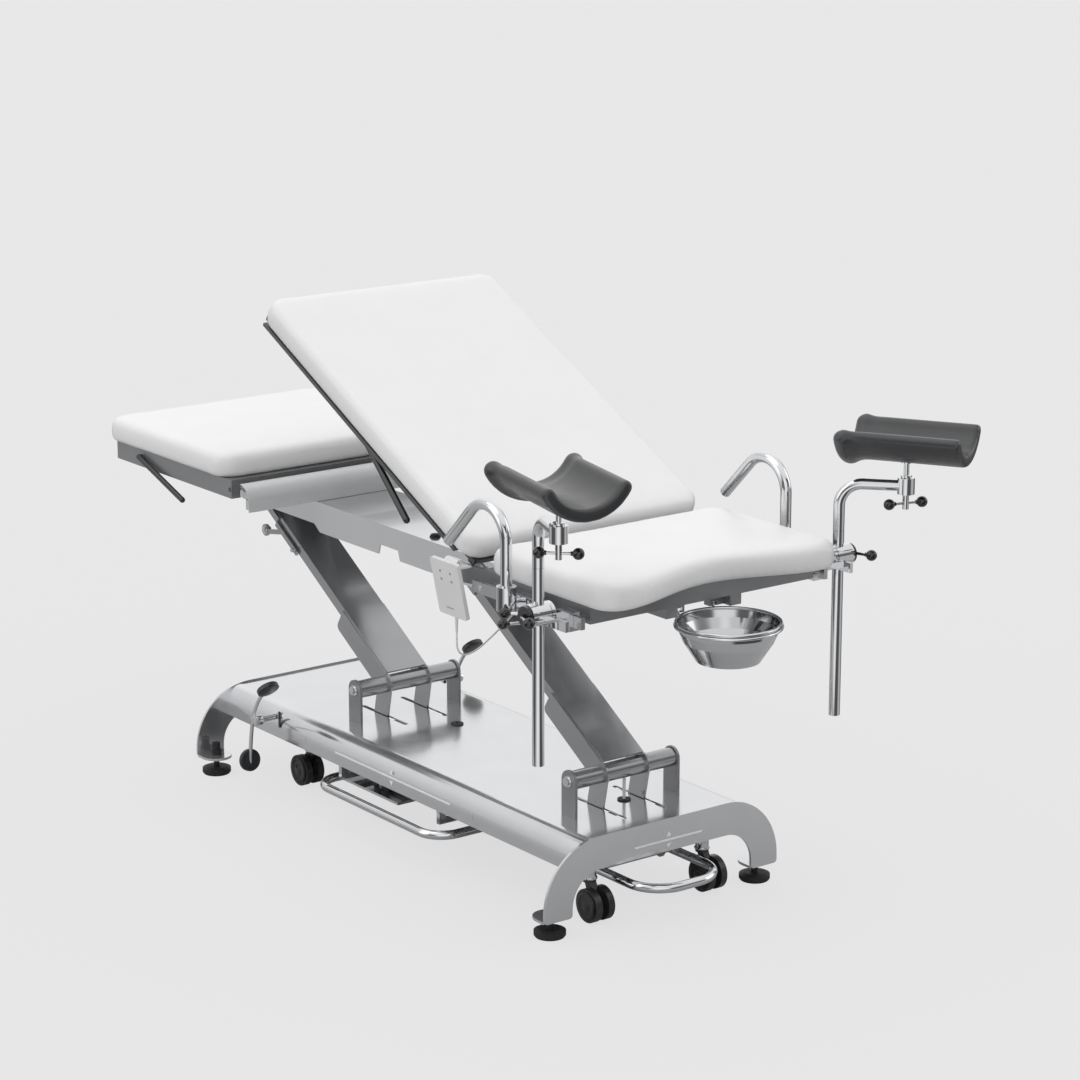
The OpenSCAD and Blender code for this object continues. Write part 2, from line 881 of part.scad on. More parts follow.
module top_frame() {
    color([0.66, 0.66, 0.67]) lifted() {
        both() side(-tray_hw, -tray_hw + tray_t) tray_side_outline();
        translate([-570.5, -tray_hw, tray_top - tray_t]) cube([955, 2 * tray_hw, tray_t]);
        both() side(-boom_hw, -boom_hw + tray_t)
            translate([-885.5, tray_low + 1]) square([450, tray_d - 1 - tray_t]);
        translate([-885.5, -boom_hw, tray_top - 2 * tray_t]) cube([450, 2 * boom_hw, tray_t]);
        for (x = [0, -pivot_gap]) {
            both() side(-boom_hw, -ear_y - gap)
                translate([x - 22, tray_low + 1]) square([44, tray_d - 1 - tray_t]);
            translate([x, 0, 0]) rod_y(top_pin_d, -boom_hw, boom_hw);
        }
        both() rod_y(top_pin_d + 5, -tray_hw, -boom_hw);
        head_beam();
    }
}

module head_beam() {
    translate([head_x + 36, -285, tray_top]) cube([36, 570, 24]);
    both() {
        side(-262, -256) {
            translate([head_x, head_z]) circle(14);
            translate([head_x, tray_top + 8]) square([40, 16]);
            translate([head_x - 14, tray_top + 14]) square([28, head_z - tray_top - 14]);
        }
        translate([head_x, 0, head_z]) rod_y(hinge_pin_d, -300, -250);
    }
}

module roll_cover() {
    r = 38;
    color([0.75, 0.75, 0.75]) lifted() translate([head_x + 36, 0, 0]) side(-300, 300) {
        translate([0, cushion_z - 4 - r]) intersection() {
            difference() {
                circle(r);
                circle(r - 2);
            }
            square(r + 1);
        }
        translate([r - 2, tray_top + 1]) square([2, cushion_z - 5 - r - tray_top]);
    }
}

module seat_frame() {
    hw = seat_frame_w / 2;
    x0 = rail_x;
    x1 = 844.5;
    color([0.55, 0.55, 0.56]) lifted() {
        difference() {
            translate([x0, -hw, frame_low]) cube([x1 - x0, 2 * hw, seat_frame_d]);
            translate([x0 + 30, 30 - hw, frame_low - 1])
                cube([x1 - x0 - 60, 2 * hw - 60, seat_frame_d + 2]);
        }
        both() difference() {
            translate([260, 72, tray_top]) cube([x1 - 262, 30, bearer_h]);
            translate([bowl_x - 380, 71, tray_top - 1]) cube([400, 32, bowl_top + 2 - tray_top]);
        }
        both() for (x = [640, 800]) {
            translate([x, 0, 0]) bar_guide();
        }
        both() {
            side(-hw + 6, -hw + 12) {
                translate([hinge_x, hinge_z]) circle(16);
                translate([hinge_x, hinge_z - 16]) square([rail_x - hinge_x + 2, 26]);
            }
            side(-hw, -hw + 5) polygon([[hinge_x - 56, frame_low - 8], [x0 + 4, frame_low],
                [x0 + 4, frame_top], [hinge_x + 6, frame_top - 4], [hinge_x - 38, frame_top - 1.2],
                [hinge_x - 56, frame_top - 1.2]]);
            translate([hinge_x, 0, hinge_z]) rod_y(hinge_pin_d, -hw + 4, -hw + 30);
        }
    }
}

// Guide beside a bearer for one of the bowl carrier's bars
module bar_guide() {
    difference() {
        translate([0, slide_y - bar_w / 2 - 6, bar_low - 5])
            cube([20, 73 - slide_y + bar_w / 2 + 6, bar_h + 10]);
        translate([-1, slide_y - bar_w / 2 - 0.3, bar_low - 0.3]) cube([22, bar_w + 0.6, bar_h + 0.6]);
        translate([-1, slide_y - 3.7, bar_low - 6]) cube([22, 7.4, 8]);
    }
}

module side_rails() {
    color([0.8, 0.8, 0.82]) lifted() both() {
        translate([rail_x, -rail_y - rail_t, rail_z]) cube([rail_len, rail_t, rail_h]);
        for (x = [rail_x + 30, rail_x + rail_len - 40]) {
            translate([x, 0, rail_z + rail_h / 2]) rod_y(12, -rail_y, -seat_frame_w / 2);
        }
    }
}

// Cushions

// Outline of a rectangular pad as points, x from 0 to len, corners of radius r
function pad_points(len, w, r, n = 7) = [for (c = [[len - r, w / 2 - r, 0],
    [r, w / 2 - r, 90], [r, r - w / 2, 180], [len - r, r - w / 2, 270]]) for (i = [0 : n])
    [c[0] + r * cos(c[2] + 90 * i / n), c[1] + r * sin(c[2] + 90 * i / n)]];

// Front edge of the seat: two lobes with a recess between them
function seat_edge(y) = seat_len - seat_recess * (1 + cos(180 * y / (cushion_w / 2 - 55))) / 2;

// Outline of the seat pad, its back corners round and its front edge waved
function seat_points(r, n = 7) = concat(
    [for (i = [-12 : 12]) let (y = seat_lobe * i / 12) [seat_edge(y), y]],
    [for (i = [1 : 6]) let (a = 15 * i) [seat_len - 55 + 55 * cos(a), seat_lobe + 55 * sin(a)]],
    [for (i = [0 : n]) let (a = 90 + 90 * i / n)
        [r + r * cos(a), cushion_w / 2 - r + r * sin(a)]],
    [for (i = [0 : n]) let (a = 180 + 90 * i / n)
        [r + r * cos(a), r - cushion_w / 2 + r * sin(a)]],
    [for (i = [0 : 5]) let (a = 270 + 15 * i)
        [seat_len - 55 + 55 * cos(a), -seat_lobe + 55 * sin(a)]]);

// Unit normal into the outline at point i
function inward(p, i) = let (n = len(p), d = p[(i + 1) % n] - p[(i + n - 1) % n])
    [-d[1], d[0]] / norm(d);

// A pad from its outline: drawn-in sides, a soft upper edge and a crowned top
module pad(points, t, mid) {
    n = len(points);
    rings = [[10, 0, 1], [3, 3, 1], [0.6, 10, 1], [0, t * 0.45, 1], [1.5, t - 20, 1],
        [5, t - 11, 1], [12, t - 4, 1], [21, t - pad_crown, 1], [21, t - pad_crown + 1.5, 0.9],
        [21, t - 1, 0.62], [21, t - 0.3, 0.3]];
    shell = [for (q = rings) for (i = [0 : n - 1])
        let (p = (points[i] + q[0] * inward(points, i) - mid) * q[2] + mid) [p[0], p[1], q[1]]];
    last = len(rings) - 1;
    polyhedron(
        points = concat(shell, [[mid[0], mid[1], 0], [mid[0], mid[1], t]]),
        faces = concat(
            [for (k = [0 : last - 1]) for (i = [0 : n - 1]) let (j = (i + 1) % n)
                [k * n + i, (k + 1) * n + i, (k + 1) * n + j]],
            [for (k = [0 : last - 1]) for (i = [0 : n - 1]) let (j = (i + 1) % n)
                [k * n + i, (k + 1) * n + j, k * n + j]],
            [for (i = [0 : n - 1]) [i, (i + 1) % n, (last + 1) * n]],
            [for (i = [0 : n - 1]) [last * n + (i + 1) % n, last * n + i, (last + 1) * n + 1]]));
}

module seat_cushion() {
    color([0.93, 0.93, 0.93]) lifted() translate([seat_x, 0, cushion_z])
        pad(seat_points(corner_r), cushion_t, [seat_len / 2 - 20, 0]);
}

// Turns what lies along the backrest to its lean, from the hinge upwards
module along_back() {
    translate([hinge_x, 0, hinge_z]) rotate([0, back_tilt, 0]) mirror([1, 0, 0]) children();
}

module backrest_cushion() {
    color([0.93, 0.93, 0.93]) lifted() along_back() translate([12, 0, back_frame_t + 1])
        pad(pad_points(back_len, cushion_w, corner_r), cushion_t, [back_len / 2, 0]);
}

module backrest_frame() {
    hw = seat_frame_w / 2 - 7;
    ear = seat_frame_w / 2 - 12 - gap;
    color([0.3, 0.3, 0.31]) lifted() along_back() {
        difference() {
            translate([20, -hw, 0.5]) cube([back_len - 10, 2 * hw, back_frame_t]);
            translate([60, 40 - hw, -1]) cube([back_len / 2 - 70, 2 * hw - 80, back_frame_t + 2]);
            translate([back_len / 2 + 30, 40 - hw, -1])
                cube([back_len / 2 - 70, 2 * hw - 80, back_frame_t + 2]);
        }
        both() side(-ear, -ear + 6) difference() {
            union() {
                circle(15);
                translate([0, -10]) square([46, back_frame_t + 10.5]);
            }
            circle(d = hinge_pin_d + 2 * run_fit);
        }
    }
}

// Release lever of the backrest: a straight bar that hangs below the frame's near edge
module backrest_lever() {
    color([0.05, 0.05, 0.05]) lifted() along_back() {
        release_lever([458, -306, 2], [241, -319, -46], 16);
        translate([458, 0, 2]) rod_y(14, -306, -297);
    }
}

module head_frame() {
    hw = 306;
    color([0.35, 0.35, 0.36]) lifted() difference() {
        union() {
            both() translate([-1089.5, -hw, 84]) cube([545, 25, 35]);
            for (x = [-1089.5, -820, -625]) {
                translate([x, -hw, 94]) cube([25, 2 * hw, 25]);
            }
            translate([-1089.5, -hw, 119]) cube([545, 2 * hw, cushion_z - 119]);
        }
        both() translate([head_x, 0, head_z]) rod_y(hinge_pin_d + 2 * run_fit, -hw - 1, -hw + 26);
    }
}

module head_cushion() {
    color([0.93, 0.93, 0.93]) lifted() translate([head_x - 2 - head_len, 0, cushion_z])
        pad(pad_points(head_len, cushion_w, corner_r + 10), cushion_t, [head_len / 2, 0]);
}

module head_lever() {
    color([0.05, 0.05, 0.05]) lifted() {
        release_lever([-968, -314, 110], [-749, -322, 44], 14);
        translate([-968, 0, 110]) rod_y(12, -314, -306);
    }
}

// A bar with round ends from a to b
module release_lever(a, b, d) {
    v = b - a;
    l = norm(v);
    translate(a) rotate([0, acos(v[2] / l), atan2(v[1], v[0])]) rotate_extrude() intersection() {
        union() {
            square([d / 2, l]);
            circle(d = d);
            translate([0, l]) circle(d = d);
        }
        translate([0, -d]) square([d, l + 2 * d]);
    }
}

// Bowl

module bowl() {
    r = bowl_d / 2 - bowl_rim;
    top = bowl_h - bowl_rim;
    color([0.8, 0.8, 0.8]) lifted() translate([bowl_x, 0, bowl_top - bowl_h])
        rotate_extrude($fn = 96) {
            difference() {
                polygon(concat(bowl_wall(0), [[r, top], [0, top]]));
                polygon(concat(bowl_wall(bowl_t), [[r - bowl_t, top + 1], [-1, top + 1]]));
            }
            translate([r, top]) circle(bowl_rim, $fn = 32);
        }
}

// Outline of the bowl from its middle up to three quarters of its height, t inside its skin
function bowl_wall(t) = let (b = bowl_base / 2 - t, r = bowl_d / 2 - bowl_rim - t)
    [[-t, t], [b - 9, t], [b - 3, t + 2], [b, 7 + t / 2], [(b + r) / 2 + 5, bowl_h / 2],
        [r - 4.5, bowl_h * 0.75]];

// Ring under the bowl's rim, on two flat bars that slide under the seat
module bowl_carrier() {
    post_r = ring_r + 5;
    post_x = bowl_x - sqrt(post_r * post_r - slide_y * slide_y);
    color([0.8, 0.8, 0.8]) lifted() {
        translate([bowl_x, 0, ring_z]) rotate_extrude($fn = 96) translate([ring_r, 0]) circle(d = 6);
        both() {
            translate([post_x - 395, -slide_y - bar_w / 2, bar_low]) cube([400, bar_w, bar_h]);
            translate([post_x, -slide_y, ring_z - 3]) {
                cylinder(d = 12, h = 5);
                cylinder(d = 6, h = bar_low + bar_h - ring_z + 2);
            }
        }
    }
}

// Leg holders

// Side rail clamp: a grooved barrel with the pole's bore, and a body hooked over the rail
module clamp_at(s, x, z) {
    color([0.75, 0.75, 0.77]) mirror([0, s > 0 ? 1 : 0, 0]) translate([x, 0, 0]) difference() {
        union() {
            translate([0, 0, z]) difference() {
                rod_y(barrel_d, -pole_y - barrel_len / 2, -pole_y + barrel_len / 2);
                for (a = [-9, 9]) {
                    translate([21, -pole_y - barrel_len, a - 1.5]) cube([6, 2 * barrel_len, 3]);
                }
                translate([14, -pole_y + 18, -30]) cube([30, 1.2, 60]);
            }
            translate([-10, -pole_y + 18, rail_z + 9]) cube([78, 8, 22]);
            translate([-22, -pole_y + 20, rail_z + 9])
                cube([44, pole_y - 20 - rail_y - rail_t - 5, 14]);
            front(-22, 22) rail_jaw();
        }
        translate([0, -pole_y, z - 60]) cylinder(d = pole_d + 2 * run_fit, h = 120);
    }
}

// Front outline of a jaw round the near side rail
module rail_jaw() {
    difference() {
        translate([-rail_y - rail_t - 10, rail_z - 8]) square([rail_t + 16, rail_h + 14]);
        translate([-rail_y - rail_t - 0.3, rail_z - 0.3]) square([rail_t + 0.6, rail_h + 0.6]);
        translate([-rail_y - 1, rail_z + 6]) square([20, rail_h - 12]);
    }
}

module near_clamp() { lifted() clamp_at(-1, pole_x - top_x, clamp_z); }
module far_clamp() { lifted() clamp_at(1, pole_x - top_x, clamp_z - 5); }

module clamp_lever_at(s, z) {
    color([0.08, 0.08, 0.08]) mirror([0, s > 0 ? 1 : 0, 0])
        translate([pole_x - top_x, -pole_y - barrel_len / 2, z]) {
            rod_y(barrel_d - 5, -8, -gap);
            rod_y(12, -14, -7);
            bar_between([0, -12, 0], [45, -29, 0], 7);
            translate([45, -29, 0]) knob(knob_d);
        }
}

module near_clamp_lever() { lifted() clamp_lever_at(-1, clamp_z); }
module far_clamp_lever() { lifted() clamp_lever_at(1, clamp_z - 5); }

module pole_at(s, drop) {
    color([0.8, 0.8, 0.82]) translate([pole_x - top_x, s * pole_y, pole_low - drop - top_z])
        cylinder(d = pole_d, h = pole_top - pole_low);
}

module near_pole() { lifted() pole_at(-1, 0); }
module far_pole() { lifted() pole_at(1, far_drop); }

// Swing arm: a bent tube that turns on the pole and carries the crutch's head block
module swing_at(s, drop, dir) {
    rise = swing_rise - gap;
    color([0.8, 0.8, 0.82]) translate([pole_x - top_x, s * pole_y, pole_top - drop - top_z + gap])
        rotate([0, 0, dir]) difference() {
            union() {
                cylinder(d = pole_d, h = rise - swing_r);
                translate([0, 0, rise - swing_r]) bend(pole_d, swing_r);
                translate([0, 0, rise]) rod_x(pole_d, swing_r, swing_len - 4);
                translate([swing_len, 0, rise - block_h / 2]) cylinder(d = block_d, h = block_h);
            }
            translate([swing_len, 0, rise - block_h / 2 - 1])
                cylinder(d = spigot_d + 2 * run_fit, h = block_h + 2);
        }
}

module near_swing_arm() { lifted() swing_at(-1, 0, near_swing); }
module far_swing_arm() { lifted() swing_at(1, far_drop, far_swing); }

module near_tbar() { lifted() head_at(-1, 0, near_swing) rotate(-45 - near_swing) tbar(); }
module far_tbar() { lifted() head_at(1, far_drop, far_swing) rotate(-16 - far_swing) tbar(); }

module head_at(s, drop, dir) {
    translate([pole_x - top_x, s * pole_y, pole_top - drop - top_z + swing_rise])
        rotate([0, 0, dir]) translate([swing_len, 0, 0]) children();
}

module tbar() {
    color([0.08, 0.08, 0.08]) translate([0, 0, -block_h / 2 - 34]) {
        cylinder(d = 14, h = 34 - gap);
        translate([0, 0, 13]) {
            rod_y(6, -39.5, 39.5);
            both() translate([0, -39.5, 0]) knob(knob_d);
        }
    }
}

module crutch_stem_at(s, drop, dir) {
    top = crutch_rise + 4;
    color([0.75, 0.75, 0.77]) head_at(s, drop, dir) {
        translate([0, 0, -block_h / 2]) cylinder(d = spigot_d, h = block_h);
        translate([0, 0, block_h / 2 + gap]) cylinder(d = 24, h = 5);
        translate([0, 0, block_h / 2]) cylinder(d = neck_d, h = top - block_h / 2);
        translate([0, 0, top - 6]) cylinder(d = 26, h = 6);
    }
}

module near_crutch_stem() { lifted() crutch_stem_at(-1, 0, near_swing); }
module far_crutch_stem() { lifted() crutch_stem_at(1, far_drop, far_swing); }

// Point on a round lip of the crutch: side e (-1 or 1) of the arc, b degrees from the tip outwards
function lip(r, h, e, b) = let (a = e * crutch_arc)
    [r * sin(a) + h * (e * cos(b) * cos(a) + sin(b) * sin(a)),
     -r * cos(a) + h * (e * cos(b) * sin(a) - sin(b) * cos(a))];

// Section of a crutch: a ribbon on an arc of radius r, h to each side of it, with round lips.
// Point k lies across the ribbon from the k-th point from the end.
function trough(r, h) = concat(
    [for (b = [0 : 18 : 72]) lip(r, h, -1, b)],
    [for (i = [-8 : 8]) (r + h) * [sin(i * crutch_arc / 8), -cos(i * crutch_arc / 8)]],
    [for (b = [72 : -18 : -72]) lip(r, h, 1, b)],
    [for (i = [8 : -1 : -8]) (r - h) * [sin(i * crutch_arc / 8), -cos(i * crutch_arc / 8)]],
    [for (b = [-72 : 18 : -18]) lip(r, h, -1, b)]);

// Leg trough: sections from the bulb at the patient's end to the rounded far end
module trough_body() {
    h = crutch_t / 2;
    r = crutch_r + h;
    x0 = -crutch_len / 2 - crutch_shift;
    x1 = crutch_len / 2 - crutch_shift;
    stations = [[x0 - 21, 4, 7], [x0 - 19, 9, 7], [x0 - 14, 14.5, 7], [x0 - 7, 18.5, 7],
        [x0, 20, 7], [x0 + 8, 18.5, 6], [x0 + 17, 15.5, 3.5], [x0 + 28, h, 1.5],
        [x0 + 42, h, 0], [x1 - 60, h, 0], [x1 - 6, h, 0], [x1 - 2, h - 2, 0], [x1, h - 6, 0]];
    n = len(trough(r, h));
    end = n * (len(stations) - 1);
    polyhedron(
        points = [for (q = stations) for (p = trough(r + q[2], q[1])) [q[0], p[0], p[1]]],
        faces = concat(
            [for (k = [0 : n : end - n]) for (i = [0 : n - 1]) let (j = (i + 1) % n)
                [k + i, k + n + j, k + j]],
            [for (k = [0 : n : end - n]) for (i = [0 : n - 1]) let (j = (i + 1) % n)
                [k + i, k + n + i, k + n + j]],
            [for (i = [0 : n / 2 - 1]) [i, i + 1, min(n - i, n - 1)]],
            [for (i = [1 : n / 2 - 2]) [i + 1, n - i - 1, n - i]],
            [for (i = [0 : n / 2 - 1]) [end + i + 1, end + i, end + min(n - i, n - 1)]],
            [for (i = [1 : n / 2 - 2]) [end + n - i - 1, end + i + 1, end + n - i]]));
}

module crutch_at(s, drop, dir, turn) {
    color([0.2, 0.2, 0.2]) head_at(s, drop, dir) rotate([0, 0, turn - dir])
        translate([0, 0, crutch_rise + crutch_r + crutch_t]) difference() {
            trough_body();
            translate([0, 0, -crutch_r - crutch_t - 6]) cylinder(d = 26.6, h = 10, $fn = 32);
        }
}

module near_crutch_pad() { lifted() crutch_at(-1, 0, near_swing, near_crutch); }
module far_crutch_pad() { lifted() crutch_at(1, far_drop, far_swing, far_crutch); }

// Grips

// Grip socket: a split sleeve on a jaw hooked over the rail
module grip_clamp_at(s, x) {
    color([0.75, 0.75, 0.77]) mirror([0, s > 0 ? 1 : 0, 0]) translate([x - top_x, 0, 0])
        difference() {
            union() {
                translate([0, -grip_y, grip_clamp_z]) cylinder(d = 43, h = 52);
                front(-18, 70) rail_jaw();
                translate([-12, -grip_y, rail_z - 4]) cube([24, grip_y - rail_y - rail_t - 4, rail_h + 8]);
                for (p = [[27, 94], [41, 76]]) {
                    translate([60, -grip_y + 4, p[1]]) rod_y(12, 0, grip_y - rail_y - rail_t - 8);
                    bar_between([60, -grip_y + 8, p[1]], [p[0], -grip_y + 2 - p[0], p[1]], 7);
                    translate([p[0], -grip_y + 2 - p[0], p[1]]) knob(knob_d - 2);
                }
            }
            translate([0, -grip_y, grip_clamp_z - 20]) cylinder(d = grip_d + 2 * run_fit, h = 94);
            translate([-1, -grip_y - 30, grip_clamp_z - 1]) cube([2, 26, 54]);
        }
}

module near_grip_clamp() { lifted() grip_clamp_at(-1, grip_x); }
module far_grip_clamp() { lifted() grip_clamp_at(1, grip_x + 17); }

// Hand grip: an upright tube bent over to a free end
module grip_at(s, x) {
    top = grip_clamp_z + 141;
    color([0.8, 0.8, 0.82]) translate([x - top_x, s * grip_y, 0]) {
        translate([0, 0, grip_clamp_z - 8]) cylinder(d = grip_d, h = top - grip_clamp_z + 8);
        translate([-grip_r, 0, top]) rotate([90, 0, 0])
            rotate_extrude(angle = 135) translate([grip_r, 0]) circle(d = grip_d);
        translate([-grip_r, 0, top]) rotate([0, -135, 0]) translate([grip_r, 0, 0])
            cylinder(d = grip_d, h = grip_hook);
    }
}

module near_grip() { lifted() grip_at(-1, grip_x); }
module far_grip() { lifted() grip_at(1, grip_x + 17); }

// Handset: a thin keypad that leans on a hooked sheet at the seat frame's ear
module handset() {
    color([0.85, 0.85, 0.85]) lifted() translate([0, -seat_frame_w / 2, 0]) {
        translate([408, -59, 142]) rotate([handset_lean, 0, 0])
            side(0, handset_t) translate([-handset_w / 2, -handset_h])
                round_rect(handset_w, handset_h, 6);
        translate([414.5, -29, -20]) cylinder(d1 = 5, d2 = 9, h = 46);
        front(385, 431) polygon([[-53, 126], [-34, 145], [-27, 145], [-27, 127],
            [-gap, 127], [-gap, 123], [-31, 123], [-31, 141], [-32.5, 141], [-51, 122]]);
    }
}

module handset_cord() {
    color([0.85, 0.85, 0.85]) lifted() tube_along(cord_route, cord_d / 2, 8);
}

// A round tube swept along points that run mostly in a plane across X
module tube_along(p, r, n) {
    last = len(p) - 1;
    ring = [for (k = [0 : last])
        let (d = p[min(k + 1, last)] - p[max(k - 1, 0)], t = d / norm(d),
            a = cross([1, 0, 0], t), u = a / norm(a), v = cross(t, u))
        for (i = [0 : n - 1]) p[k] + r * (cos(360 * i / n) * u + sin(360 * i / n) * v)];
    polyhedron(points = ring, faces = concat(
        [[for (i = [n - 1 : -1 : 0]) i]],
        [[for (i = [0 : n - 1]) last * n + i]],
        [for (k = [0 : last - 1]) for (i = [0 : n - 1]) let (j = (i + 1) % n)
            [k * n + i, k * n + j, (k + 1) * n + j]],
        [for (k = [0 : last - 1]) for (i = [0 : n - 1]) let (j = (i + 1) % n)
            [k * n + i, (k + 1) * n + j, (k + 1) * n + i]]));
}

base_shell();
end_arches();
levelling_feet();
pivot_uprights();
pivot_bolts();
plate_grommets();
actuator_housing();
drive_link();
front_arm();
rear_arm();
arm_cable();
castor_frame();
castor_fork_1();
castor_fork_2();
castor_fork_3();
castor_fork_4();
castor_wheels_1();
castor_wheels_2();
castor_wheels_3();
castor_wheels_4();
castor_pedal();
side_foot_bar();
end_foot_bar();
top_frame();
roll_cover();
seat_frame();
side_rails();
seat_cushion();
backrest_frame();
backrest_cushion();
backrest_lever();
head_frame();
head_cushion();
head_lever();
bowl();
bowl_carrier();
near_clamp();
near_clamp_lever();
near_pole();
near_swing_arm();
near_tbar();
near_crutch_stem();
near_crutch_pad();
far_clamp();
far_clamp_lever();
far_pole();
far_swing_arm();
far_tbar();
far_crutch_stem();
far_crutch_pad();
near_grip_clamp();
near_grip();
far_grip_clamp();
far_grip();
handset();
handset_cord();
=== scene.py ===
"""Looks of a height-adjustable examination table: its finishes, upholstery, small fittings and studio."""

import logging
import math
from dataclasses import dataclass, field
from enum import Enum
from typing import Callable, Iterable, Sequence

import bmesh
import bpy
from mathutils import Matrix, Vector


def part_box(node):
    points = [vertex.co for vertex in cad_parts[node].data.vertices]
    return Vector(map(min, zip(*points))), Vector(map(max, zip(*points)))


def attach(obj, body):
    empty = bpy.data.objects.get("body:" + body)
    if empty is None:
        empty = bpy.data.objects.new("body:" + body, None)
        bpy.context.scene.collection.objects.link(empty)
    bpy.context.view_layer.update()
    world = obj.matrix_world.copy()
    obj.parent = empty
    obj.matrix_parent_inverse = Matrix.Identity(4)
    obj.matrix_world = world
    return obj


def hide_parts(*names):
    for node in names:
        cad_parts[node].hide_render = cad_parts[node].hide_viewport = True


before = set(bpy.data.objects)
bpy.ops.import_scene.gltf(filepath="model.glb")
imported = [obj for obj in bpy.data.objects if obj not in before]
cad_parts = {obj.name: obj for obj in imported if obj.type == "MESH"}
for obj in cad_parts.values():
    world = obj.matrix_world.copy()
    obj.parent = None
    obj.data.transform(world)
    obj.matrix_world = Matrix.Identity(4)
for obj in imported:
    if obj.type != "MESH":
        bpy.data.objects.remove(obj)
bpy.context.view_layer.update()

log = logging.getLogger("examination_table")

Point = Sequence[float]
Step = tuple[float, float]  # radius and height of one step of a turned piece, in metres
Socket = bpy.types.NodeSocket
Tree = bpy.types.NodeTree


# Small tools


def linear(code: str) -> tuple[float, float, float, float]:
    """Turns an sRGB hex colour to the linear values that shaders take.

    Args:
        code: colour such as "#A8A9AB".

    Returns:
        Red, green, blue and an alpha of one.
    """
    parts = [int(code[i : i + 2], 16) / 255 for i in (1, 3, 5)]
    lin = [c / 12.92 if c <= 0.04045 else ((c + 0.055) / 1.055) ** 2.4 for c in parts]
    return (lin[0], lin[1], lin[2], 1.0)


def add_node(
    tree: Tree,
    kind: str,
    settings: dict[str, object] | None = None,
    links: dict[str | int, Socket] | None = None,
) -> bpy.types.Node:
    """Adds a node with its settings and its links.

    Args:
        tree: node tree that takes the node.
        kind: Blender's name for the node type.
        settings: attributes by name, or input values by "=" and the input's name or number.
        links: sockets that feed the node's inputs, by the input's name or number.

    Returns:
        The new node.
    """
    node = tree.nodes.new(kind)
    for key, value in (settings or {}).items():
        if key.startswith("="):
            name = key[1:]
            node.inputs[int(name) if name.isdigit() else name].default_value = value
        else:
            setattr(node, key, value)
    for key, socket in (links or {}).items():
        tree.links.new(socket, node.inputs[key])
    return node


def clear_selection() -> None:
    """Leaves edit mode and deselects everything."""
    if bpy.context.object is not None and bpy.context.object.mode != "OBJECT":
        bpy.ops.object.mode_set(mode="OBJECT")
    bpy.ops.object.select_all(action="DESELECT")


def take_up(piece: bpy.types.Object) -> None:
    """Selects one piece alone and makes it active."""
    clear_selection()
    piece.select_set(True)
    bpy.context.view_layer.objects.active = piece


def add_modifier(piece: bpy.types.Object, kind: str, **settings: object) -> None:
    """Adds a modifier to a piece and applies it at once.

    Args:
        piece: mesh object to change.
        kind: Blender's name for the modifier type.
        **settings: the modifier's own attributes.
    """
    take_up(piece)
    mod = piece.modifiers.new(kind.title(), kind)
    for key, value in settings.items():
        setattr(mod, key, value)
    bpy.ops.object.modifier_apply(modifier=mod.name)


def smooth(piece: bpy.types.Object, angle: float = 35.0) -> None:
    """Shades a piece smooth, but keeps edges sharper than the angle in degrees."""
    take_up(piece)
    bpy.ops.object.shade_smooth_by_angle(angle=math.radians(angle))


def settle(piece: bpy.types.Object, name: str) -> bpy.types.Object:
    """Names a piece and moves its place into its mesh, so the object is at the origin.

    Args:
        piece: object just made.
        name: the name it is kept under.

    Returns:
        The same object.
    """
    take_up(piece)
    bpy.ops.object.transform_apply(location=True, rotation=True, scale=True)
    piece.name = piece.data.name = name
    return piece


def pick_faces(piece: bpy.types.Object, test: Callable[[bpy.types.MeshPolygon], bool]) -> None:
    """Selects the faces that pass a test and enters edit mode on them.

    Args:
        piece: mesh object, already active.
        test: says whether a face is wanted.
    """
    bpy.ops.object.mode_set(mode="EDIT")
    bpy.ops.mesh.select_mode(type="FACE")
    bpy.ops.mesh.select_all(action="DESELECT")
    bpy.ops.object.mode_set(mode="OBJECT")
    for face in piece.data.polygons:
        face.select = test(face)
    bpy.ops.object.mode_set(mode="EDIT")


def aim(direction: Point) -> tuple[float, float, float]:
    """Euler turn that points a primitive's own Z axis along a direction."""
    return tuple(Vector(direction).normalized().to_track_quat("Z", "Y").to_euler())


def slope(lean: float) -> tuple[Vector, Vector]:
    """Unit directions along a slope that rises towards -X and square to it, for a lean in degrees."""
    a = math.radians(lean)
    return Vector((-math.cos(a), 0.0, math.sin(a))), Vector((math.sin(a), 0.0, math.cos(a)))


def linked(name: str, data: bpy.types.ID) -> bpy.types.Object:
    """New object in the scene that holds some data.

    Args:
        name: name of the object.
        data: its curve, mesh, camera or light.

    Returns:
        The new object.
    """
    thing = bpy.data.objects.new(name, data)
    bpy.context.scene.collection.objects.link(thing)
    return thing


def drawn(
    name: str, route: Sequence[Point], radius: float, order: int, steps: int, round_steps: int
) -> bpy.types.Object:
    """Round bar or cord as one smooth open curve.

    Args:
        name: name of the piece.
        route: points that it follows, in metres.
        radius: radius of its section, in metres.
        order: order of the curve, 3 to stay near the points and 4 for rounder bows.
        steps: steps from one point to the next.
        round_steps: steps of the section's rounding.

    Returns:
        The new curve object.
    """
    data = bpy.data.curves.new(name, "CURVE")
    data.dimensions, data.resolution_u = "3D", steps
    data.bevel_depth, data.bevel_resolution = radius, round_steps
    data.use_fill_caps = True
    line = data.splines.new("NURBS")
    line.points.add(len(route) - 1)
    for point, place in zip(line.points, route):
        point.co = (*place, 1.0)
    line.order_u, line.use_endpoint_u = order, True
    return linked(name, data)


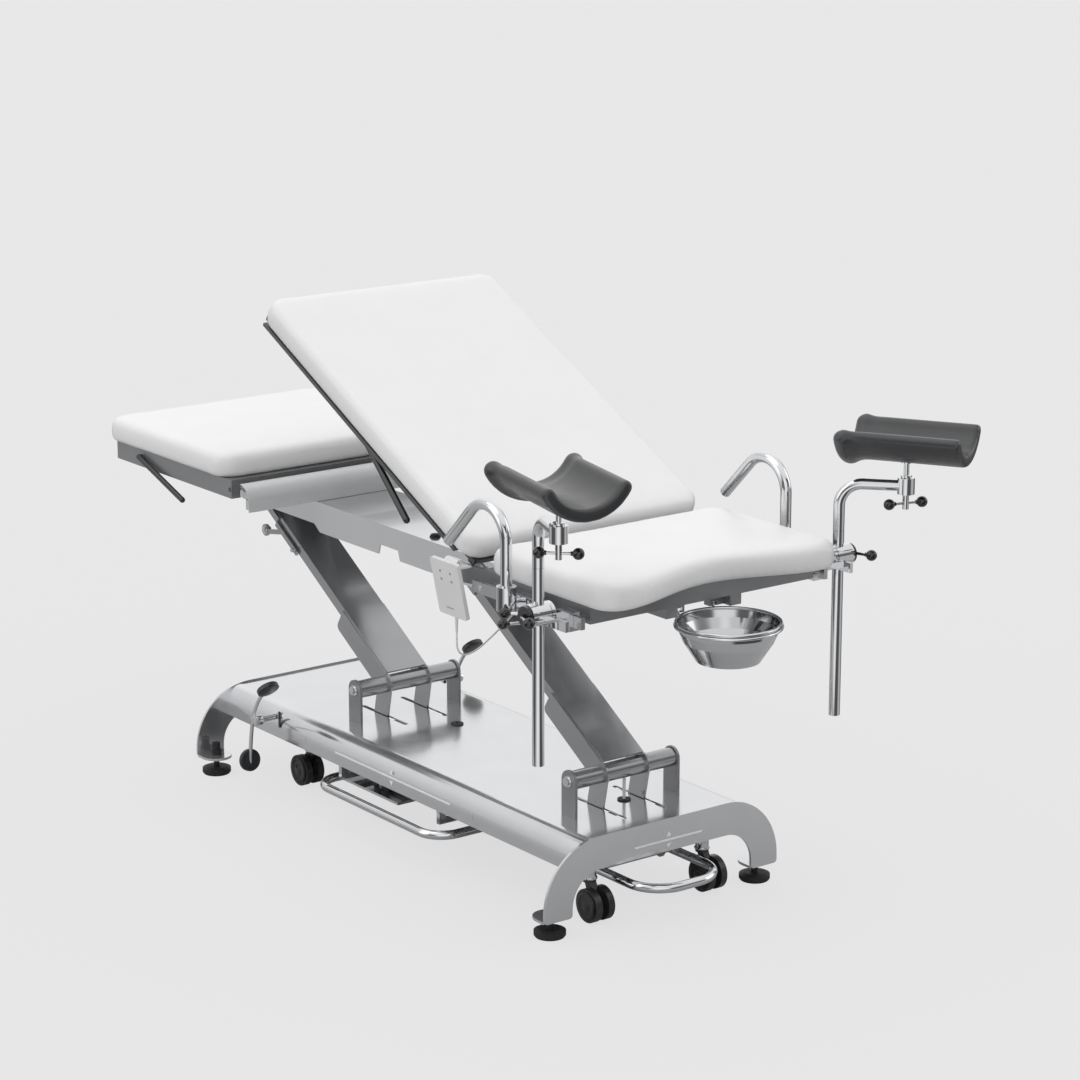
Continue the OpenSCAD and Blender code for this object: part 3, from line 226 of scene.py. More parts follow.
def slab(name: str, centre: Point, size: Point, radius: float, turn: Point = (0, 0, 0)) -> bpy.types.Object:
    """Flat or square block with rounded edges.

    Args:
        name: name of the piece.
        centre: its middle, in metres.
        size: its three lengths, in metres.
        radius: edge radius, in metres.
        turn: Euler turn in radians.

    Returns:
        The finished mesh object.
    """
    clear_selection()
    bpy.ops.mesh.primitive_cube_add(size=1, location=tuple(centre), rotation=tuple(turn))
    piece = bpy.context.object
    piece.scale = tuple(size)
    settle(piece, name)
    add_modifier(piece, "BEVEL", width=radius, segments=3, limit_method="ANGLE")
    smooth(piece)
    return piece


def turned(
    name: str, seat: Point, along: Point, steps: Sequence[Step], sides: int = 32, soft: float = 0.0004
) -> bpy.types.Object:
    """Turned or drawn piece: a cylinder whose end is inset and extruded step by step.

    Args:
        name: name of the piece.
        seat: middle of the face that it stands on, in metres.
        along: direction in which it rises.
        steps: (radius, height) pairs in metres; the first is the starting cylinder.
        sides: number of sides, 6 for a hexagon.
        soft: width of its edge bevel, in metres.

    Returns:
        The finished mesh object.
    """
    clear_selection()
    radius, height = steps[0]
    bpy.ops.mesh.primitive_cylinder_add(
        vertices=sides, radius=radius, depth=height, location=(0, 0, height / 2)
    )
    piece = bpy.context.object
    bpy.ops.object.transform_apply(location=True, rotation=True, scale=True)
    level = height
    for wide, tall in steps[1:]:
        pick_faces(
            piece, lambda f: f.normal.z > 0.9 and abs(f.center.z - level) < 1e-6 and len(f.vertices) == sides
        )
        bpy.ops.mesh.inset(thickness=0.0, depth=0.0)
        factor = wide / radius
        bpy.ops.transform.resize(value=(factor, factor, factor), center_override=(0, 0, level))
        if tall:
            bpy.ops.mesh.extrude_region_move(TRANSFORM_OT_translate={"value": (0, 0, tall)})
        bpy.ops.object.mode_set(mode="OBJECT")
        radius, level = wide, level + tall
    piece.location, piece.rotation_euler = tuple(seat), aim(along)
    settle(piece, name)
    if soft:
        add_modifier(
            piece, "BEVEL", width=soft, segments=2, limit_method="ANGLE", angle_limit=math.radians(40)
        )
    smooth(piece)
    return piece


def rod(name: str, a: Point, b: Point, radius: float, sides: int = 24) -> bpy.types.Object:
    """Round bar from a to b, its ends lightly chamfered."""
    run = Vector(b) - Vector(a)
    return turned(name, a, run, [(radius, run.length)], sides, radius * 0.12)


def ball_grip(name: str, centre: Point, stem: Point, radius: float) -> bpy.types.Object:
    """Moulded ball with the short neck that its rod goes into.

    Args:
        name: name of the piece.
        centre: middle of the ball, in metres.
        stem: direction from the ball towards its rod.
        radius: radius of the ball, in metres.

    Returns:
        The finished mesh object.
    """
    clear_selection()
    bpy.ops.mesh.primitive_uv_sphere_add(segments=40, ring_count=24, radius=radius)
    ball = bpy.context.object
    collar = radius * 0.93
    pick_faces(ball, lambda f: f.center.z > collar)
    bpy.ops.transform.resize(value=(1.0, 1.0, 0.0), center_override=(0, 0, collar))
    bpy.ops.mesh.extrude_region_move(TRANSFORM_OT_translate={"value": (0, 0, radius * 0.3)})
    bpy.ops.object.mode_set(mode="OBJECT")
    ball.location, ball.rotation_euler = tuple(centre), aim(stem)
    settle(ball, name)
    smooth(ball, 40)
    return ball


def joined(pieces: Iterable[bpy.types.Object], name: str) -> bpy.types.Object:
    """Joins several meshes to one piece.

    Args:
        pieces: meshes to join; the first takes the others in.
        name: name of the whole.

    Returns:
        The joined object.
    """
    parts = list(pieces)
    clear_selection()
    for part in parts:
        part.select_set(True)
    bpy.context.view_layer.objects.active = parts[0]
    if len(parts) > 1:
        bpy.ops.object.join()
    parts[0].name = parts[0].data.name = name
    return parts[0]


def wear(piece: bpy.types.Object, material: bpy.types.Material) -> None:
    """Gives a whole piece one material."""
    piece.data.materials.clear()
    piece.data.materials.append(material)


# Finishes


@dataclass(frozen=True)
class Finish:
    """Base of the finishes: an opaque surface with its colour and gloss.

    Attributes:
        name: what the real material is.
        colour: sRGB hex colour.
        rough: roughness.
        metal: metallic share.
        clear: weight of a clear layer on top.
        clear_rough: roughness of that layer.
        grain_mm: size of the surface's relief, in mm.
        relief: strength of that relief.
        relief_mm: depth of that relief, in mm.
        shift: how far the tone wanders over the surface.
    """

    name: str
    colour: str
    rough: float = 0.4
    metal: float = 0.0
    clear: float = 0.0
    clear_rough: float = 0.05
    grain_mm: float = 3.0
    relief: float = 0.1
    relief_mm: float = 0.05
    shift: float = 0.04

    def pattern(self, tree: Tree, place: Socket) -> Socket:
        """Height of the surface's relief: a fine soft noise.

        Args:
            tree: node tree of the material.
            place: Object coordinates.

        Returns:
            The height, from 0 to 1.
        """
        return add_node(
            tree, "ShaderNodeTexNoise",
            {"=Scale": 1000 / self.grain_mm, "=Detail": 2.0, "=Roughness": 0.5}, {"Vector": place},
        ).outputs["Fac"]

    def tone(self, tree: Tree, place: Socket) -> Socket:
        """Colour of the surface, which wanders a little over a hand's width.

        Args:
            tree: node tree of the material.
            place: Object coordinates.

        Returns:
            The colour.
        """
        noise = add_node(
            tree, "ShaderNodeTexNoise", {"=Scale": 9.0, "=Detail": 3.0, "=Roughness": 0.6}, {"Vector": place}
        )
        ramp = add_node(
            tree, "ShaderNodeMapRange",
            {"=From Min": 0.3, "=From Max": 0.7, "=To Min": 1 - self.shift, "=To Max": 1 + self.shift},
            {"Value": noise.outputs["Fac"]},
        )
        return add_node(
            tree, "ShaderNodeVectorMath", {"operation": "SCALE", "=0": linear(self.colour)[:3]},
            {"Scale": ramp.outputs["Result"]},
        ).outputs["Vector"]

    def gloss(self, tree: Tree, place: Socket) -> Socket:
        """Roughness, with faint wiping marks about 6 cm across.

        Args:
            tree: node tree of the material.
            place: Object coordinates.

        Returns:
            The roughness.
        """
        noise = add_node(
            tree, "ShaderNodeTexNoise",
            {"=Scale": 16.0, "=Detail": 5.0, "=Roughness": 0.65}, {"Vector": place},
        )
        return add_node(
            tree, "ShaderNodeMapRange",
            {"=From Min": 0.3, "=From Max": 0.7, "=To Min": self.rough * 0.85, "=To Max": self.rough * 1.2},
            {"Value": noise.outputs["Fac"]},
        ).outputs["Result"]

    def make(self) -> bpy.types.Material:
        """Builds the material.

        Returns:
            The new material.
        """
        material = bpy.data.materials.new(self.name)
        material.use_nodes = True
        tree = material.node_tree
        shader = tree.nodes["Principled BSDF"]
        place = add_node(tree, "ShaderNodeTexCoord").outputs["Object"]
        shader.inputs["Metallic"].default_value = self.metal
        shader.inputs["Coat Weight"].default_value = self.clear
        shader.inputs["Coat Roughness"].default_value = self.clear_rough
        tree.links.new(self.tone(tree, place), shader.inputs["Base Color"])
        tree.links.new(self.gloss(tree, place), shader.inputs["Roughness"])
        bump = add_node(
            tree, "ShaderNodeBump", {"=Strength": self.relief, "=Distance": self.relief_mm / 1000},
            {"Height": self.pattern(tree, place)},
        )
        tree.links.new(bump.outputs["Normal"], shader.inputs["Normal"])
        material.diffuse_color = linear(self.colour)
        return material


@dataclass(frozen=True)
class BrushedMetal(Finish):
    """Metal with long fine scratches along one axis.

    Attributes:
        along: axis that the brushing follows, 0 for X, 1 for Y and 2 for Z.
    """

    along: int = 0

    def pattern(self, tree: Tree, place: Socket) -> Socket:
        """Scratches: noise drawn out forty times along the brushing.

        Args:
            tree: node tree of the material.
            place: Object coordinates.

        Returns:
            The height, from 0 to 1.
        """
        scale = [1.0, 1.0, 1.0]
        scale[self.along] = 0.025
        run = add_node(tree, "ShaderNodeMapping", {"=Scale": scale}, {"Vector": place})
        return add_node(
            tree, "ShaderNodeTexNoise", {"=Scale": 1000 / self.grain_mm, "=Detail": 3.0},
            {"Vector": run.outputs["Vector"]},
        ).outputs["Fac"]


@dataclass(frozen=True)
class Vinyl(Finish):
    """Coated fabric with a pressed hide grain, and soft gloss."""

    def pattern(self, tree: Tree, place: Socket) -> Socket:
        """Hide grain: cells with soft valleys between them.

        Args:
            tree: node tree of the material.
            place: Object coordinates.

        Returns:
            The height, from 0 up.
        """
        return add_node(
            tree, "ShaderNodeTexVoronoi",
            {"feature": "SMOOTH_F1", "=Scale": 1000 / self.grain_mm, "=Smoothness": 0.6}, {"Vector": place},
        ).outputs["Distance"]


class Stock(Enum):
    """The finishes of the table, each by what the real surface is, save that the darkening of ENAMEL_SHADE is
    partly painted shade.
    """

    # Clear-coated silver gloss paint: the deck is almost a mirror where it is seen at a low angle
    ENAMEL = Finish(
        "silver_paint_gloss", "#D9DADC", rough=0.15, metal=0.84, clear=0.35, clear_rough=0.04,
        grain_mm=5.0, relief=0.05, shift=0.02,
    )
    # The same paint a shade darker, on the arms and the castors' frame
    ENAMEL_MID = Finish(
        "silver_paint_mid_grey", "#A6A7A9", rough=0.22, metal=0.85, clear=0.5, clear_rough=0.06,
        grain_mm=4.0, relief=0.07, shift=0.02,
    )
    # Darker grey of the uprights, the seat's frame and the head section's frame; the darkening is partly
    # painted shade, for the shade that these parts lie in
    ENAMEL_SHADE = Finish(
        "satin_grey_with_painted_shade", "#8E8F91", rough=0.34, metal=0.55, clear=0.4, clear_rough=0.12,
        shift=0.02,
    )
    # Dark satin coat under the backrest, also worn by the strips of painted shade beside its board
    ENAMEL_DARK = Finish(
        "powder_coat_satin_dark", "#58595B", rough=0.42, metal=0.3, clear=0.2, clear_rough=0.2,
        grain_mm=2.5, relief=0.12, shift=0.03,
    )
    # Light satin coat of the cover behind the backrest
    ENAMEL_LIGHT = Finish(
        "powder_coat_satin_light", "#CFD0D1", rough=0.38, metal=0.15, clear=0.3, clear_rough=0.15,
        grain_mm=2.5, shift=0.02,
    )
    # Bright chromium plate: mirror with faint waviness of the drawn tube
    CHROME = Finish(
        "chromium_plate", "#DDDEE0", rough=0.04, metal=1.0, clear_rough=0.0, grain_mm=30.0, relief=0.04,
        shift=0.01,
    )
    # Cold-drawn stainless rail, brushed along its length
    RAIL = BrushedMetal(
        "stainless_rail_brushed", "#B9BABC", rough=0.26, metal=1.0, clear_rough=0.0, grain_mm=0.7,
        relief=0.18, relief_mm=0.03, shift=0.03,
    )
    # Spun and polished stainless bowl
    BOWL = Finish(
        "stainless_spun_polished", "#CCCDCF", rough=0.09, metal=1.0, clear_rough=0.0, grain_mm=8.0,
        relief=0.05, shift=0.03,
    )
    # Gloss black moulded grip plastic
    BLACK = Finish(
        "polyamide_gloss_black", "#161618", rough=0.18, clear=0.5, grain_mm=1.5, relief=0.08, shift=0.08,
    )
    # Matt black moulded rubber of feet and grommets
    RUBBER = Finish(
        "rubber_moulded_black", "#202022", rough=0.62, clear_rough=0.0, grain_mm=1.2, relief=0.3,
        relief_mm=0.06, shift=0.12,
    )
    # Dark grey tyre of the castors
    TYRE = Finish(
        "polyurethane_tyre_dark", "#2A2B2D", rough=0.34, clear=0.25, clear_rough=0.12, grain_mm=1.5,
        relief=0.15, shift=0.1,
    )
    # White coated fabric with a soft sheen; its fine pressed grain is drawn at 2 mm so that it shows close up
    UPHOLSTERY = Vinyl(
        "vinyl_upholstery_white", "#EEEEEE", rough=0.36, clear=0.15, clear_rough=0.25, grain_mm=2.0,
        relief=0.06, relief_mm=0.08, shift=0.012,
    )
    # Integral-skin foam of the leg troughs: dark grey, silky, finely textured
    SKIN = Finish(
        "integral_skin_foam_dark_grey", "#37383A", rough=0.36, clear=0.35, clear_rough=0.22,
        grain_mm=1.6, relief=0.16, relief_mm=0.06, shift=0.05,
    )
    # Light grey moulded ABS of the handset, and its lead
    HOUSING = Finish(
        "abs_moulded_light_grey", "#E6E6E6", rough=0.42, clear=0.05, clear_rough=0.2, grain_mm=0.9,
        relief=0.12, relief_mm=0.04, shift=0.015,
    )
    # White film of the lines on the base
    FILM = Finish(
        "film_white", "#F4F4F4", clear_rough=0.0, grain_mm=1.5, relief=0.03, relief_mm=0.02, shift=0.01,
    )
    # Mid grey of the handset's keys and of the line under them
    INK = Finish(
        "ink_mid_grey", "#9A9B9D", rough=0.5, clear_rough=0.0, grain_mm=1.0, relief=0.05, relief_mm=0.02,
        shift=0.03,
    )


@dataclass
class Paintbox:
    """Materials made so far, one for each finish."""

    made: dict[Stock, bpy.types.Material] = field(default_factory=dict)

    def get(self, stock: Stock) -> bpy.types.Material:
        """Gives the finish's material, and makes it the first time.

        Args:
            stock: the finish.

        Returns:
            Its material.
        """
        if stock not in self.made:
            self.made[stock] = stock.value.make()
        return self.made[stock]


@dataclass
class Assembly:
    """Base of the sub-assemblies: it finishes pieces and hands them to their bodies.

    Attributes:
        paint: the shared materials.
        pieces: what this sub-assembly has made.
    """

    paint: Paintbox
    pieces: list[bpy.types.Object] = field(default_factory=list)

    def build(self) -> None:
        """Makes the pieces; here there are none."""

    def dress(self) -> None:
        """Finishes the solids that stay as they are; here there are none."""

    def fit(self, piece: bpy.types.Object, stock: Stock, body: str, slot: str) -> None:
        """Finishes a piece and lets it ride on a body.

        Args:
            piece: the finished mesh or curve.
            stock: its finish.
            body: body that it moves with.
            slot: name of a slot of the record; not used.
        """
        wear(piece, self.paint.get(stock))
        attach(piece, body)
        self.pieces.append(piece)

    def coat(self, stock: Stock, *nodes: str) -> None:
        """Gives solids of the frame a finish, as they are.

        Args:
            stock: the finish.
            *nodes: names of the solids.
        """
        for name in nodes:
            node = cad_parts[name]
            for place in node.material_slots:
                place.material = self.paint.get(stock)
            if not node.material_slots:
                node.data.materials.append(self.paint.get(stock))


# Sub-assemblies


@dataclass
class Base(Assembly):
    """Deck, end arches, feet, castors and foot bars.

    Attributes:
        stripe_w: width of the white lines, in metres.
        film: thickness of the white film, in metres.
        arrow: side of the small triangles beside the lines, in metres.
        arrow_gap: from a line's edge to the middle of its triangles, in metres.
        side_line: start and end along X, distance from the middle, and height of the lines on the sides.
        end_line: start and end along Y, distance from the middle, and height of the lines on the arches.
        stem_x: places of the front and rear castors' stems along the base, in metres.
        stem_z: height where a stem's sleeve starts, in metres.
        sleeve: steps of a sleeve.
        disc: steps of the domed disc on a wheel.
    """

    stripe_w: float = 0.0044
    film: float = 0.0008
    arrow: float = 0.012
    arrow_gap: float = 0.0095
    side_line: tuple[float, ...] = (-0.214, 0.252, 0.2429, 0.167)
    end_line: tuple[float, ...] = (-0.081, 0.106, 0.714, 0.162)
    stem_x: tuple[float, float] = (0.653, -0.448)
    stem_z: float = 0.0935
    sleeve: tuple[Step, ...] = ((0.0174, 0.004), (0.0154, 0.0), (0.0154, 0.040), (0.0169, 0.005))
    disc: tuple[Step, ...] = (
        (0.0315, 0.0012), (0.029, 0.0009), (0.0245, 0.0), (0.0235, -0.0006), (0.010, 0.0005),
    )

    def stripe(self, name: str, a: Point, b: Point, out: Point) -> bpy.types.Object:
        """White line with a triangle above its middle and one below.

        Args:
            name: name of the piece.
            a: its start, in metres.
            b: its end, in metres.
            out: direction that the face under it looks in.

        Returns:
            The line and its triangles as one mesh.
        """
        start, end, normal = Vector(a), Vector(b), Vector(out)
        middle = (start + end) / 2
        up = Vector((0.0, 0.0, 1.0))
        size = [abs(c) or (self.film if abs(n) > 0.5 else self.stripe_w) for c, n in zip(end - start, normal)]
        parts = [slab(name, middle, size, 0.0001)]
        for wanted in (up, -up):
            tip = middle + wanted * (self.stripe_w / 2 + self.arrow_gap)
            steps = [(self.arrow * 0.62, self.film)]
            part = turned(name + "_arrow", tip - normal * self.film / 2, normal, steps, 3, 0.0)
            corner = max(part.data.vertices, key=lambda v: (v.co - tip).dot(wanted)).co - tip
            corner -= normal * corner.dot(normal)
            turn = corner.rotation_difference(wanted).to_matrix().to_4x4()
            part.data.transform(Matrix.Translation(tip) @ turn @ Matrix.Translation(-tip))
            parts.append(part)
        return joined(parts, name)

    def build(self) -> None:
        """Adds the lines, and the castors' discs and sleeves."""
        a, b, y, z = self.side_line
        for side, out in (("near", -1), ("far", 1)):
            line = self.stripe(f"{side}_side_line", (a, out * y, z), (b, out * y, z), (0, out, 0))
            self.fit(line, Stock.FILM, "base", "light_grey")
        a, b, x, z = self.end_line
        for side, out in (("right", 1), ("left", -1)):
            line = self.stripe(f"{side}_end_line", (out * x, a, z), (out * x, b, z), (out, 0, 0))
            self.fit(line, Stock.FILM, "base", "light_grey")
        for i in (1, 2, 3, 4):
            self.castor_discs(i)
        for i in (1, 2, 3, 4):
            self.castor_sleeve(i)

    def castor_sleeve(self, i: int) -> None:
        """Bright turned sleeve between one castor's fork and the frame.

        Args:
            i: number of the castor.
        """
        low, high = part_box(f"castor_wheels_{i}")
        x = self.stem_x[0 if low.x > 0 else 1]
        seat = (x, (low.y + high.y) / 2, self.stem_z)
        sleeve = turned(f"castor_sleeve_{i}", seat, (0, 0, 1), self.sleeve, 40)
        self.fit(sleeve, Stock.CHROME, f"castor_fork_{i}", "chrome")

    def castor_discs(self, i: int) -> None:
        """Domed discs on the outer faces of one castor's two wheels.

        Args:
            i: number of the castor.
        """
        low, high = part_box(f"castor_wheels_{i}")
        mid = (low + high) / 2
        discs = [
            turned(f"castor_disc_{i}", (mid.x, y - out * 0.0006, mid.z), (0, out, 0), self.disc, 48, 0.0003)
            for out, y in ((-1, low.y), (1, high.y))
        ]
        self.fit(joined(discs, f"castor_discs_{i}"), Stock.BLACK, f"castor_wheels_{i}", "black_plastic")

    def dress(self) -> None:
        """Finishes of the base's solids."""
        self.coat(Stock.ENAMEL, "base_shell", "end_arches")
        self.coat(Stock.ENAMEL_SHADE, "pivot_uprights")
        self.coat(Stock.ENAMEL_MID, "castor_frame", "drive_link")
        self.coat(Stock.ENAMEL_DARK, "actuator_housing")
        self.coat(Stock.RUBBER, "levelling_feet", "plate_grommets")
        self.coat(Stock.CHROME, "pivot_bolts", "side_foot_bar", "end_foot_bar")
        for i in (1, 2, 3, 4):
            self.coat(Stock.TYRE, f"castor_wheels_{i}")
            self.coat(Stock.BLACK, f"castor_fork_{i}")


@dataclass
class Pedal(Assembly):
    """Castor pedal: a shaft across the base with a bowed bar and two round foot pads at each side.

    Attributes:
        shaft: middle of the shaft, in metres.
        shaft_r: radius of the shaft, in metres.
        reach: how far the bars stand out from the table's middle, in metres.
        bow: the bar's centreline beside the shaft, as (x, z) in metres.
        bar_r: radius of the bar, in metres.
        pads: middle of each pad as (x, z) in metres, and the direction (x, z) that its tread looks in.
        pad_r: radius of a foot pad, in metres.
        pad_steps: steps of a pad with its ribs, the radii as shares of the pad's own.
        roller_y: how far the inner rollers stand from the table's middle, in metres.
        roller_x: how far they stand from the shaft, in metres.
        wall_y: where the shaft leaves the base's side, in metres.
    """

    shaft: tuple[float, float, float] = (-0.472, 0.0, 0.190)
    shaft_r: float = 0.0070
    reach: float = 0.300
    bow: tuple[tuple[float, float], ...] = (
        (-0.414, 0.288), (-0.438, 0.268), (-0.466, 0.236), (-0.485, 0.198), (-0.494, 0.158), (-0.500, 0.120),
        (-0.503, 0.074),
    )
    bar_r: float = 0.0046
    pads: tuple[tuple[float, float, float, float], ...] = (
        (-0.416, 0.284, -0.707, 0.707), (-0.504, 0.082, 0.990, 0.139),
    )
    pad_r: float = 0.0272
    pad_steps: tuple[Step, ...] = (
        (0.86, 0.002), (1.0, 0.0), (1.0, 0.009), (0.94, 0.0016), (0.78, 0.0), (0.76, -0.0008), (0.56, 0.0),
        (0.54, 0.0010), (0.34, 0.0), (0.32, -0.0008), (0.14, 0.0),
    )
    roller_y: float = 0.130
    roller_x: float = 0.038
    wall_y: float = 0.2438

    def bar(self, y: float) -> bpy.types.Object:
        """Bowed round bar beside the base, swept along its centreline and made a mesh.

        Args:
            y: its place across the table, in metres.

        Returns:
            The bar.
        """
        take_up(drawn("pedal_bar", [(x, y, z) for x, z in self.bow], self.bar_r, 4, 6, 5))
        bpy.ops.object.convert(target="MESH")
        piece = bpy.context.object
        smooth(piece)
        return piece

    def linkage(self, sign: int) -> list[bpy.types.Object]:
        """Bar, hub and inner roller lever at one side.

        Args:
            sign: -1 for the near side, 1 for the far side.

        Returns:
            The pieces, still apart.
        """
        x, _, z = self.shaft
        y = sign * self.reach
        roller = sign * self.roller_y
        lever = (self.roller_x, 0.0116, 0.011)
        out = (0, sign, 0)
        end = (x + self.roller_x, roller - sign * 0.006, z - 0.0092)
        return [
            self.bar(y),
            turned(
                "pedal_hub", (x, y - sign * 0.014, z), out, [(0.0125, 0.016), (0.0105, 0.003)], 40, 0.0008
            ),
            slab("pedal_link", (x - 0.010, y, z), (0.020, 0.008, 0.010), 0.0015),
            turned("pedal_collar", (x, roller - sign * 0.006, z), out, [(0.0118, 0.012)], 40, 0.0006),
            slab("pedal_lever", (x + self.roller_x / 2, roller, z - 0.004), lever, 0.0015),
            turned("pedal_roller", end, out, [(0.0118, 0.010), (0.0100, 0.002)], 40, 0.0008),
        ]

    def foot_pads(self, y: float) -> list[bpy.types.Object]:
        """Two ribbed foot pads that lie along the ends of one bar.

        Args:
            y: the bar's place across the table, in metres.

        Returns:
            The two pads.
        """
        steps = [(share * self.pad_r, tall) for share, tall in self.pad_steps]
        made = []
        for x, z, out_x, out_z in self.pads:
            out = Vector((out_x, 0.0, out_z))
            made.append(turned("pedal_pad", Vector((x, y, z)) - out * 0.0075, out, steps, 48, 0.0007))
        return made

    def build(self) -> None:
        """Makes the shaft with both bars, their pads, and the plates where the shaft leaves the base."""
        x, _, z = self.shaft
        end = self.reach + 0.004
        bars = [rod("pedal_shaft", (x, -end, z), (x, end, z), self.shaft_r, 32)]
        pads = []
        for sign in (-1, 1):
            bars += self.linkage(sign)
            pads += self.foot_pads(sign * self.reach)
        linkage = joined(bars, "pedal_linkage")
        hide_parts("castor_pedal")
        self.fit(linkage, Stock.CHROME, "castor_pedal", "chrome")
        self.fit(joined(pads, "pedal_pads"), Stock.TYRE, "castor_pedal", "black_plastic")
        plates = [
            slab("pedal_plate", (x + 0.016, y, z - 0.004), (0.007, 0.0034, 0.040), 0.0006)
            for y in (-self.wall_y, self.wall_y)
        ]
        self.fit(joined(plates, "pedal_plates"), Stock.BLACK, "base", "dark_frame")


@dataclass
class Lift(Assembly):
    """The two arms and the channel that they carry.

    Attributes:
        foot: lower pivot of the rear arm at its near lug's outer face, in metres.
        arm_tilt: slope of the arms as shown, in degrees.
        lug: bolt in the lug, along the arm and square to it from the pivot, in metres.
        pin: the pin on the strap's lower end, in the same way.
        bolt_head: steps of a washer and round head.
        stub: steps of the pin.
        nut: steps of a washer and nut.
        strap: from the lug's outer face to the nut's seat, in metres.
        buffer_at: foot of the rubber buffer on the channel, in metres.
        buffer: its steps.
    """

    foot: tuple[float, float, float] = (-0.275, -0.061, 0.286)
    arm_tilt: float = 32.0
    lug: tuple[float, float] = (0.588, -0.044)
    pin: tuple[float, float] = (0.464, 0.005)
    bolt_head: tuple[Step, ...] = (
        (0.0105, 0.0015), (0.0078, 0.0), (0.0078, 0.0030), (0.0060, 0.0016), (0.0030, 0.0006),
    )
    stub: tuple[Step, ...] = ((0.0070, 0.0012), (0.0055, 0.0), (0.0055, 0.0060), (0.0030, 0.0006))
    nut: tuple[Step, ...] = ((0.0105, 0.0012), (0.0095, 0.0), (0.0095, 0.0060))
    strap: float = 0.0061
    buffer_at: tuple[float, float, float] = (-0.035, -0.076, 0.7009)
    buffer: tuple[Step, ...] = ((0.013, 0.003), (0.0105, 0.004), (0.006, 0.001))

    def build(self) -> None:
        """Adds the buffer on the channel's top and the bolts in the rear arm's lug."""
        buffer = turned("channel_buffer", self.buffer_at, (0, 0, 1), self.buffer, 36, 0.0008)
        self.fit(buffer, Stock.RUBBER, "top_frame", "black_rubber")
        self.strap_bolts()

    def strap_bolts(self) -> None:
        """Round-headed bolt with its nut in the rear arm's lug, and the short pin on the strap."""
        along, up = slope(self.arm_tilt)
        lug, pin = [Vector(self.foot) + along * run + up * rise for run, rise in (self.lug, self.pin)]
        near = Vector((0.0, -1.0, 0.0))
        bolts = [
            turned("strap_bolt", lug + near * 0.0001, near, self.bolt_head, 36, 0.0005),
            turned("strap_nut", lug - near * self.strap, -near, self.nut, 6, 0.0005),
            turned("strap_pin", pin - near * 0.0001, near, self.stub, 36, 0.0005),
        ]
        self.fit(joined(bolts, "strap_bolts"), Stock.CHROME, "rear_arm", "chrome")

    def dress(self) -> None:
        """Finishes of the arms and of the top frame."""
        self.coat(Stock.ENAMEL_MID, "front_arm", "rear_arm")
        self.coat(Stock.ENAMEL, "top_frame")
        self.coat(Stock.ENAMEL_LIGHT, "roll_cover")
        self.coat(Stock.HOUSING, "arm_cable")


